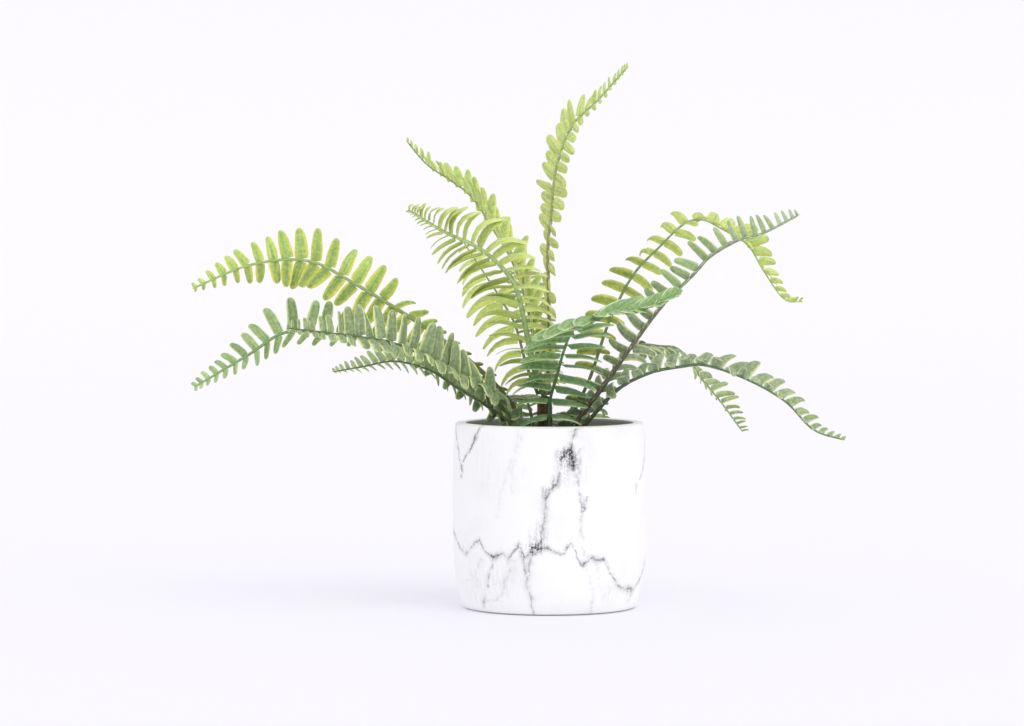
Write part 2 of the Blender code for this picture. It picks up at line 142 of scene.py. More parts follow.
def new_material(name):
    """A material, its shader node and the function that adds a node to it."""
    material = bpy.data.materials.new(name)
    material.use_nodes = True
    tree = material.node_tree

    def add(kind, *values, **settings):
        """A new node. Its kind may be followed by its operation or data type, and a Math operation
        stands alone. Values and links fill its open sockets in turn; settings are its properties
        or, with a capital, its sockets by name."""
        kind, _, operation = (f"Math {kind}" if kind.isupper() else kind).partition(" ")
        made = tree.nodes.new("ShaderNode" + kind)
        if operation:
            setattr(made, "data_type" if kind == "Mix" else "operation", operation)
        sockets = dict(zip((i for i, socket in enumerate(made.inputs) if socket.enabled), values))
        for key, value in settings.items():
            if key.islower():
                setattr(made, key, value)
            else:
                sockets[key] = value
        fill(made, sockets)
        return made

    return material, tree.nodes["Principled BSDF"], add


# Glazed earthenware, marbled: warm white glaze with a soft satin gloss. The ink has run along
# fine cracks in zigzags, has feathered downwards and lies in grainy pools where cracks meet.
# A vein is its width in mm, its darkness and its points: (height, angle) where it runs down the
# side, (angle, height) where it runs round. Angles are in degrees from the front, positive to the
# right; heights are in mm.
VEINS_DOWN = [
    (1, 0.85, [(82, -65), (90, -64), (97, -57), (106, -51), (116, -45)]),
    (0.8, 0.8, [(90, -64), (96, -69), (105, -75), (114, -80)]),
    (1.2, 0.12, [(60, -31), (74, -30), (84, -26), (107, -19), (114, -18)]),
    (1, 0.12, [(74, -23), (89, -22), (98, -20), (112, -16)]),
    (1.3, 0.75, [(88, 14), (99, 12), (106, 14), (114, 16)]),
    (1.2, 0.6, [(44, -5), (59, -3), (68, -2), (75, 0), (84, 5), (96, 6), (101, 11)]),
    (1, 0.45, [(64, 20), (72, 18), (78, 16), (86, 15), (92, 14)]),
    (0.8, 0.3, [(77, 17), (89, 17), (98, 16), (103, 19)]),
    (0.9, 0.4, [(36, 21), (45, 20), (56, 19), (65, 20), (72, 22)]),
    (1.1, 0.5, [(80, 68), (86, 72), (98, 81), (111, 88)]),
    (0.9, 0.22, [(17, -67), (21, -55), (27, -49), (34, -44)]),
    (0.9, 0.55, [(3, -48), (15, -41), (26, -38), (36, -35)]),
    (1.6, 0.2, [(7, -44), (10, -34), (16, -29), (24, -25), (30, -23)]),
    (1, 0.42, [(0, -10), (11, -11), (16, -13), (27, -14), (37, -16)]),
    (1.2, 0.45, [(25, -12), (33, -11), (40, -9)]),
    (1.3, 0.2, [(1, 28), (16, 27), (25, 24), (32, 20)]),
    (1.6, 0.15, [(17, 31), (26, 30), (34, 29)]),
    (1.3, 0.6, [(0, 118), (20, 124), (38, 117), (60, 128), (84, 133), (114, 140)]),
    (1, 0.45, [(34, 160), (52, 168), (70, 163), (92, 171), (114, 178)]),
    (1.4, 0.65, [(2, -150), (18, -144), (34, -148), (58, -139), (86, -133), (114, -128)]),
    (1, 0.3, [(0, -106), (16, -109), (30, -104), (44, -108)]),
]
VEINS_ROUND = [
    (1.2, 0.68, [
        (-180, 106), (-172, 103), (-165, 92), (-158, 94), (-149, 81), (-141, 83), (-135, 76),
        (-124, 64), (-116, 67), (-106, 55), (-97, 57), (-88, 50), (-79, 47), (-68, 40), (-59, 36),
        (-52, 42), (-45, 45), (-41, 39), (-35, 35), (-28, 38), (-25, 34), (-18, 44), (-15, 36),
        (-9, 42), (0, 42), (7, 38), (12, 45), (14, 45), (19, 30), (26, 36), (34, 33), (45, 18),
        (55, 14), (63, 13), (73, 19), (88, 31), (96, 27), (109, 33), (115, 24), (123, 27),
        (129, 19), (141, 21), (148, 12), (161, 10), (168, 3), (180, 0)]),
    (1.6, 0.12, [(-26, 36), (-20, 33), (-15, 38)]),
]
# Pools of ink: (angle, height, half width mm, half height mm, darkness)
POOLS = [
    (12, 97, 7, 10.5, 0.55), (7, 99, 5, 4.5, 0.5), (-8, 42, 11, 4.6, 0.8),
    (-15, 38, 4.5, 4, 0.7), (-6, 48, 9, 11, 0.38), (2, 81, 3.5, 6, 0.55),
    (-2, 76, 4.5, 5, 0.55), (60, 12, 9, 6, 0.5), (62, 76, 2, 5, 0.6),
    (-15, 88, 4, 6, 0.12), (40, 14, 12, 9, 0.13), (20, 66, 1.6, 3, 0.7),
    (-34, 36, 4, 2.4, 0.4), (-50, 18, 20, 24, 0.14), (-28, 22, 13, 22, 0.12),
    (-40, 90, 15, 26, 0.08), (22, 88, 9, 26, 0.12), (9, 90, 10, 17, 0.26),
    (128, 60, 6, 9, 0.7), (-136, 77, 8, 5, 0.8), (-116, 66, 6, 4, 0.5),
    (163, 42, 4, 7, 0.5), (123, 26, 6, 4, 0.6),
]


def marbled_glaze():
    material, shader, add = new_material("marbled_satin_glaze")
    place = add("TexCoord").outputs["Object"]
    x, y, z = add("SeparateXYZ", place).outputs

    def grain(scale_mm, detail, rough=0.5, shift=(0, 0, 0)):
        """Noise about 0, its coarsest grain scale_mm across."""
        made = add("TexNoise", add("Mapping", place, shift), Scale=1 / (scale_mm * MM), Detail=detail,
                   Roughness=rough)
        return add("SUBTRACT", made, 0.5)

    # the ink wanders off its line by about a millimetre
    wander_a = grain(9, 4, 0.62)
    wander_b = grain(8, 4, 0.62, (0.3, 0.1, 0.2))
    angle = add("MULTIPLY", add("ARCTAN2", x, add("MULTIPLY", y, -1)), 180 / pi)
    angle = add("MULTIPLY_ADD", wander_a, 7, angle)
    height = add("MULTIPLY_ADD", wander_b, 7, add("MULTIPLY", z, 1 / MM))
    degree = pi / 180 * POT_BELLY  # mm of girth
    speckle = grain(0.9, 2, 0.6)
    fleck = grain(3.5, 2, 0.5, (0.1, 0.8, 0.4))
    cloud = grain(14, 3, 0.55, (0.7, 0.4, 0.1))
    # streaks where the ink has run down
    drawn = add("Mapping", place, Scale=(1, 1, 0.12))
    run_down = add("SUBTRACT", add("TexNoise", drawn, Scale=1 / (1.8 * MM), Detail=3), 0.5)

    def vein(width, dark, line, across, along, unit):
        """Ink along a line: a thin core and a soft halo, broken by speckle."""
        lows = [min(p[k] for p in line) for k in (0, 1)]
        spans = [max(p[k] for p in line) - lows[k] for k in (0, 1)]
        share = add("DIVIDE", add("SUBTRACT", along, lows[0]), spans[0])
        curve = add("FloatCurve", 1, share)
        points = curve.mapping.curves[0].points
        wanted = sorted(((a - lows[0]) / spans[0], (b - lows[1]) / spans[1]) for a, b in line)
        while len(points) < len(wanted):
            points.new(0.5, 0.5)
        for point, spot in zip(points, wanted):
            point.location = spot
            point.handle_type = "VECTOR"
        curve.mapping.update()
        at = add("MULTIPLY_ADD", curve, spans[1], lows[1])
        off = add("MULTIPLY", add("ABSOLUTE", add("SUBTRACT", across, at)), unit)
        # past its ends a vein fades within 2% of its length
        inside = add("MULTIPLY", add("MULTIPLY_ADD", share, 50, 1, use_clamp=True),
                     add("MULTIPLY_ADD", share, -50, 51, use_clamp=True))
        core = add("SUBTRACT", 1, add("DIVIDE", off, width * 0.8), use_clamp=True)
        halo = add("SUBTRACT", 1, add("DIVIDE", off, width * 4.2), use_clamp=True)
        patchy = add("MULTIPLY_ADD", cloud, 2.4, add("MULTIPLY_ADD", fleck, 3.2, 0.76), use_clamp=True)
        core = add("MULTIPLY", core, add("MULTIPLY_ADD", speckle, 3.6, 0.68, use_clamp=True))
        ink = add("MULTIPLY_ADD", add("POWER", halo, 2), 0.62, add("MULTIPLY", core, 0.7))
        return add("MULTIPLY", add("MULTIPLY", ink, inside), add("MULTIPLY", patchy, dark))

    ink = 0
    for form in VEINS_DOWN:
        ink = add("ADD", ink, vein(*form, angle, height, degree))
    for form in VEINS_ROUND:
        ink = add("ADD", ink, vein(*form, height, angle, 1))
    for at_angle, at_height, half_wide, half_high, dark in POOLS:
        a = add("MULTIPLY", add("SUBTRACT", angle, at_angle), degree / half_wide)
        b = add("MULTIPLY", add("SUBTRACT", height, at_height), 1 / half_high)
        reach = add("SQRT", add("ADD", add("MULTIPLY", a, a), add("MULTIPLY", b, b)))
        pool = add("POWER", add("SUBTRACT", 1, reach, use_clamp=True), 0.8)
        grainy = add("MULTIPLY_ADD", speckle, 4, add("MULTIPLY_ADD", run_down, 4.5, 0.36), use_clamp=True)
        ink = add("ADD", ink, add("MULTIPLY", add("MULTIPLY", pool, grainy), dark))
    # a faint bloom of grey under the glaze everywhere
    bloom = add("MAXIMUM", grain(30, 5, 0.6, (0.2, 0.9, 0.5)), 0)
    ink = add("ADD", ink, add("MULTIPLY", bloom, 0.3), use_clamp=True)

    # the inner wall is bare grey cast, and the foot that it stands on is unglazed; the foot's grey
    # is also painted contact shadow where the pot meets the floor
    reach = add("VectorMath LENGTH", add("CombineXYZ", x, y))
    bare = add("MULTIPLY", add("LESS_THAN", reach, (POT_BORE + 0.9) * MM), add("GREATER_THAN", z, MM))
    foot = add("LESS_THAN", z, 0.9 * MM)
    white = add("Mix RGBA", ink, linear("#fbfbfb"), linear("#3b3c41"))
    cast = add("Mix RGBA", add("MULTIPLY_ADD", speckle, 1.2, 0.5, use_clamp=True),
               linear("#8b8d8b"), linear("#a8a9a6"))
    glazed = add("Mix RGBA", bare, white, cast)
    rough = add("MAXIMUM", add("MULTIPLY_ADD", speckle, 0.1, 0.42),
                add("MULTIPLY", add("MAXIMUM", bare, foot), 0.9))
    ripple = add("ADD", grain(22, 3), add("MULTIPLY", speckle, 0.04))
    # the grey of the unglazed foot also serves as painted contact shadow along the floor
    fill(shader, {"Base Color": add("Mix RGBA", foot, glazed, linear("#9c9b99")), "Roughness": rough,
                  "Normal": add("Bump", Strength=0.25, Distance=0.6 * MM, Height=ripple), "IOR": 1.5})
    return material


pot = lathe("marbled_pot", POT_RINGS, POT_SIDES)
pot.data.materials.append(marbled_glaze())
bpy.ops.object.shade_smooth_by_angle(angle=radians(POT_FACET))
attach(pot, "root")
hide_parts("pot")

# ----------------------------------------
# Soil: a moist mix of peat and composted bark, filled to below the rim and firmed round the
# crown in a low mound. Crumbs and bark chips lie loose on it.
# ----------------------------------------

SOIL_RADIUS = POT_BORE - 0.4
SOIL_EDGE = 84.6
SOIL_TOP = 88.0
SOIL_FLAT = 12.0  # radius of the flat top round the crown
SOIL_RING = 2.2  # between rings of the surface
SOIL_SIDES = 112
CRUMB_COUNT = 240
CRUMB_RADIUS = (0.5, 1.3)
CHIP_COUNT = 60
CHIP_RADIUS = (1.4, 2.4)
CHIP_FORM = (1.7, 0.9, 0.35)
ROUGH_FACET = 60  # the same for the soil and the crown


def soil_height(radius):
    """Height of the mound at a distance from the middle, in mm."""
    return SOIL_TOP - (SOIL_TOP - SOIL_EDGE) * max(0, (radius - SOIL_FLAT) / (SOIL_RADIUS - SOIL_FLAT))


def soil_rings():
    rings = [(SOIL_RADIUS - 5, POT_FLOOR + 0.4), (SOIL_RADIUS, POT_FLOOR + 6.4), (SOIL_RADIUS, SOIL_EDGE)]
    radius = SOIL_RADIUS - SOIL_RING
    while radius > SOIL_RING:
        rings.append((radius, soil_height(radius)))
        radius -= SOIL_RING
    return rings


def joined(name, parts):
    """One object made of several, which keeps the first one's mesh."""
    select(*parts)
    bpy.ops.object.transform_apply(location=True, rotation=True, scale=True)
    bpy.ops.object.join()
    whole = bpy.context.object
    whole.name = whole.data.name = name
    return whole


def two_tone(add, pattern, low, dark, high, pale):
    """A ramp from a dark to a pale colour, between two levels of a pattern."""
    ramp = add("ValToRGB", pattern)
    for element, level, colour in zip(ramp.color_ramp.elements, (low, high), (dark, pale)):
        element.position = level
        element.color = linear(colour)
    return ramp


# Potting mix: wet peat is near black and matt, and the crumbs' dry edges and the bark are brown.
def potting_mix():
    material, shader, add = new_material("moist_potting_mix")
    place = add("TexCoord").outputs["Object"]
    coarse = add("TexNoise", place, Scale=1 / (3 * MM), Detail=5, Roughness=0.7)
    fine = add("TexVoronoi", place, Scale=1 / (1.1 * MM))
    fill(shader, {"Base Color": two_tone(add, coarse, 0.32, "#17110c", 0.72, "#4a372a"), "Roughness": 0.93,
                  "Normal": add("Bump", Strength=0.8, Distance=0.5 * MM, Height=fine)})
    return material


chance = random.Random(4)
soil = lathe("potting_soil", soil_rings(), SOIL_SIDES)
for vert in soil.data.vertices:
    if vert.co.z > (SOIL_EDGE - 1) * MM:
        lift = noise.noise(vert.co / (4 * MM)) + noise.noise(vert.co / (1.6 * MM)) * 0.6
        vert.co.z += lift * MM

grains = []
for k in range(CRUMB_COUNT + CHIP_COUNT):
    chip = k >= CRUMB_COUNT
    way = chance.uniform(0, 2 * pi)
    reach = sqrt(chance.uniform(0.05, 1)) * (SOIL_RADIUS - 3.5)
    size = chance.uniform(*(CHIP_RADIUS if chip else CRUMB_RADIUS))
    select()
    bpy.ops.mesh.primitive_ico_sphere_add(
        subdivisions=1, radius=size * MM,
        location=(reach * cos(way) * MM, reach * sin(way) * MM, (soil_height(reach) + size * 0.35) * MM),
        rotation=(chance.uniform(-0.4, 0.4), chance.uniform(-0.4, 0.4), chance.uniform(0, 6.3)))
    crumb = bpy.context.object
    crumb.scale = CHIP_FORM if chip else (1, chance.uniform(0.7, 1), chance.uniform(0.6, 0.9))
    grains.append(crumb)
soil = joined("potting_soil", [soil] + grains)
soil.data.materials.append(potting_mix())
bpy.ops.object.shade_smooth_by_angle(angle=radians(ROUGH_FACET))
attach(soil, "root")
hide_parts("soil")

# ----------------------------------------
# Crown: the knot of old stalk bases that the fern grows from, and the short trunk of them that
# its upright fronds leave. Dead stalks are brown, ridged along and covered in papery scales.
# ----------------------------------------

CROWN_PLACE = (-3.0, 1.5)
CROWN_RADIUS = 10.0
SHOULDER = 101.0
TRUNK_RADIUS = 3.4
TRUNK_TOP = 131.0
TRUNK_RIBS = 7
STUB = (8, 1.9, 1.2)  # sides, and radius at the foot and the tip
STUB_COUNT = 17
STUB_TURN = 2.4  # the golden angle, which spreads them evenly
STEM = (10, 1.7, 1.25)
STEM_COUNT = 8
STEM_REACH = 3.5
SCALE = (4, 0.7, 0)
SCALE_COUNT = 150
SCALE_LENGTH = 4.5
SCALE_FLAT = 0.3


# Dead stalk: dry and fibrous, brown with pale ridges, with green algae in patches.
def dead_stalk():
    material, shader, add = new_material("dead_fern_stalk")
    place = add("TexCoord").outputs["Object"]
    drawn = add("Mapping", place, Scale=(1, 1, 0.12))
    fibre = add("TexNoise", drawn, Scale=1 / (1.2 * MM), Detail=4)
    patch = add("TexNoise", place, Scale=1 / (9 * MM), Detail=2)
    green = add("MapRange", patch, 0.5, 0.72, 0, 0.55)
    brown = two_tone(add, fibre, 0.3, "#3f3326", 0.75, "#8a7050")
    fill(shader, {"Base Color": add("Mix RGBA", green, brown, linear("#4c5a2c")),
                  "Normal": add("Bump", Strength=0.9, Distance=0.4 * MM, Height=fibre), "Roughness": 0.8})
    return material


def spike(form, length, height, way, reach, lean, rise, flat=1):
    """A taper that leans out beside the crown's axis, its middle raised along itself by rise."""
    sides, foot, tip = form
    select()
    bpy.ops.mesh.primitive_cone_add(vertices=sides, radius1=foot * MM, radius2=tip * MM, depth=length * MM)
    made = bpy.context.object
    made.matrix_world = Matrix.Translation((CROWN_PLACE[0] * MM, CROWN_PLACE[1] * MM, height * MM)) \
        @ Matrix.Rotation(way, 4, "Z") @ Matrix.Translation((reach * MM, 0, 0)) \
        @ Matrix.Rotation(radians(lean), 4, "Y") @ Matrix.Translation((0, 0, rise * MM)) \
        @ Matrix.Diagonal((flat, 1, 1, 1))
    return made


chance = random.Random(11)
crown = lathe("fern_crown", [
    (CROWN_RADIUS * 0.9, SOIL_TOP + 0.4), (CROWN_RADIUS, SOIL_TOP + 3), (CROWN_RADIUS * 0.8, SHOULDER - 4),
    (TRUNK_RADIUS + 1.2, SHOULDER + 1), (TRUNK_RADIUS + 0.3, SHOULDER + 7), (TRUNK_RADIUS, SHOULDER + 16),
    (TRUNK_RADIUS, TRUNK_TOP - 3), (TRUNK_RADIUS - 0.8, TRUNK_TOP - 0.6), (TRUNK_RADIUS - 1.8, TRUNK_TOP),
], TRUNK_RIBS * 6)
for vert in crown.data.vertices:
    rib = cos(atan2(vert.co.y, vert.co.x) * TRUNK_RIBS + vert.co.z / MM * 0.05)
    bulge = 1 + 0.17 * rib + 0.05 * noise.noise(vert.co / (6 * MM))
    vert.co.x = vert.co.x * bulge + CROWN_PLACE[0] * MM
    vert.co.y = vert.co.y * bulge + CROWN_PLACE[1] * MM

spikes = []
for k in range(STUB_COUNT):
    lean = chance.uniform(12, 34)
    length = chance.uniform(8, 15)
    reach = chance.uniform(6.5, 8.5)
    spikes.append(spike(STUB, length, SOIL_TOP - 0.5, STUB_TURN * k, reach, lean, length / 2))
# the stems of the upright fronds stand round the trunk
for k in range(STEM_COUNT):
    way = 2 * pi * (k + 0.5 * chance.random()) / STEM_COUNT
    length = TRUNK_TOP - SHOULDER + chance.uniform(-7, -1)
    lean = chance.uniform(-4, 3)
    spikes.append(spike(STEM, length, SHOULDER, way, STEM_REACH, lean, length / 2))
for k in range(SCALE_COUNT):
    way = chance.uniform(0, 2 * pi)
    height = chance.uniform(SOIL_TOP + 2, TRUNK_TOP - 4)
    reach = STEM_REACH + 1.1 if height > SHOULDER + 3 else CROWN_RADIUS * 0.85
    lean = chance.uniform(8, 40)
    spikes.append(spike(SCALE, SCALE_LENGTH, height, way, reach, lean, 0, SCALE_FLAT))
crown = joined("fern_crown", [crown] + spikes)
crown.data.materials.append(dead_stalk())
bpy.ops.object.shade_smooth_by_angle(angle=radians(ROUGH_FACET))
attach(crown, "root")
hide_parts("crown")

# ----------------------------------------
# Leaflet: one pinna, made flat and 1 long, which every frond bends and sizes for each place on
# it. It is a thin lens, sharp at its edge: a short stalk, a square foot with an ear on each
# side, near parallel sides and a blunt round tip.
# ----------------------------------------

# (share of the length, half width for the widest)
LEAFLET_OUTLINE = [(0, 0.15), (0.035, 0.2), (0.055, 0.9), (0.2, 1), (0.42, 1), (0.66, 0.96),
                   (0.85, 0.85), (0.955, 0.62), (1, 0.24)]
LEAFLET_STEPS = len(LEAFLET_OUTLINE) - 1
LEAFLET_ACROSS = 4

select()
bpy.ops.mesh.primitive_grid_add(x_subdivisions=LEAFLET_STEPS, y_subdivisions=LEAFLET_ACROSS, size=1)
leaflet = bpy.context.object
leaflet.name = leaflet.data.name = "leaflet_pattern"
leaflet.data.uv_layers[0].name = "leaf"
for vert in leaflet.data.vertices:
    share, breadth = LEAFLET_OUTLINE[round((vert.co.x + 0.5) * LEAFLET_STEPS)]
    across = vert.co.y * 2
    inner = abs(across) < 0.99 and 0 < share < 1
    vert.co = (share, across * breadth, int(inner))
# the quads at the four corners are cut from the corner inwards, so top and bottom stay apart
bm = bmesh.new()
bm.from_mesh(leaflet.data)
corners = [face for face in bm.faces if sum(vert.co.z for vert in face.verts) == 1]
bmesh.ops.triangulate(bm, faces=corners, quad_method="LONG_EDGE")
bm.to_mesh(leaflet.data)
bm.free()
edit_all()
bpy.ops.mesh.duplicate()
bpy.ops.transform.resize(value=(1, 1, -1), center_override=(0, 0, 0))
bpy.ops.mesh.flip_normals()
bpy.ops.mesh.select_all(action="SELECT")
bpy.ops.mesh.remove_doubles(threshold=0.0001)
bpy.ops.object.mode_set(mode="OBJECT")
underside = leaflet.data.attributes.new("underside", "FLOAT", "FACE")
underside.data.foreach_set("value", [float(face.normal.z < 0) for face in leaflet.data.polygons])

# ----------------------------------------
# Fronds: each arches from the crown on a ribbed midrib with a leaflet pair every few mm. The
# upper fronds are young and yellow-green, the lower ones older and blue-green with pale edges.
# Stalks are brown and scaly at the foot and turn green above the first leaflets.
# ----------------------------------------

STALK = 2.6  # midrib thickness at the crown, in mm
STALK_TIP = 0.9
STALK_STEP = 3.2  # between rings of the midrib
STALK_FACET = 55
LEAFLET_NARROWEST = 1.2  # width of a leaflet: this, and a share of its length
LEAFLET_BROADENING = 0.29
LEAFLET_THICK = 0.36
TIP_LEAFLET = 0.14
TAPER_FROM = 0.65
FIRST_LEAFLET = 0.75
FULL_FROM = 0.3
UP = Vector((0, 0, 1))
SCATTER = {"fold": 5.0, "lean": 4.0, "twist": 8.0}  # of a leaflet's angles, in degrees
# What a frond and a row of its leaflets have unless they say otherwise
FROND = {"droop": 0.1, "curl": 0.15, "crowding": 1.35, "stout": 1.0}
ROW = {"fold": 0, "lean": 0, "twist": 0, "size": 1, "width": 1, "point": 0.2, "sweep": 0.06, "painted_shade": 0,
       "stray": 1}
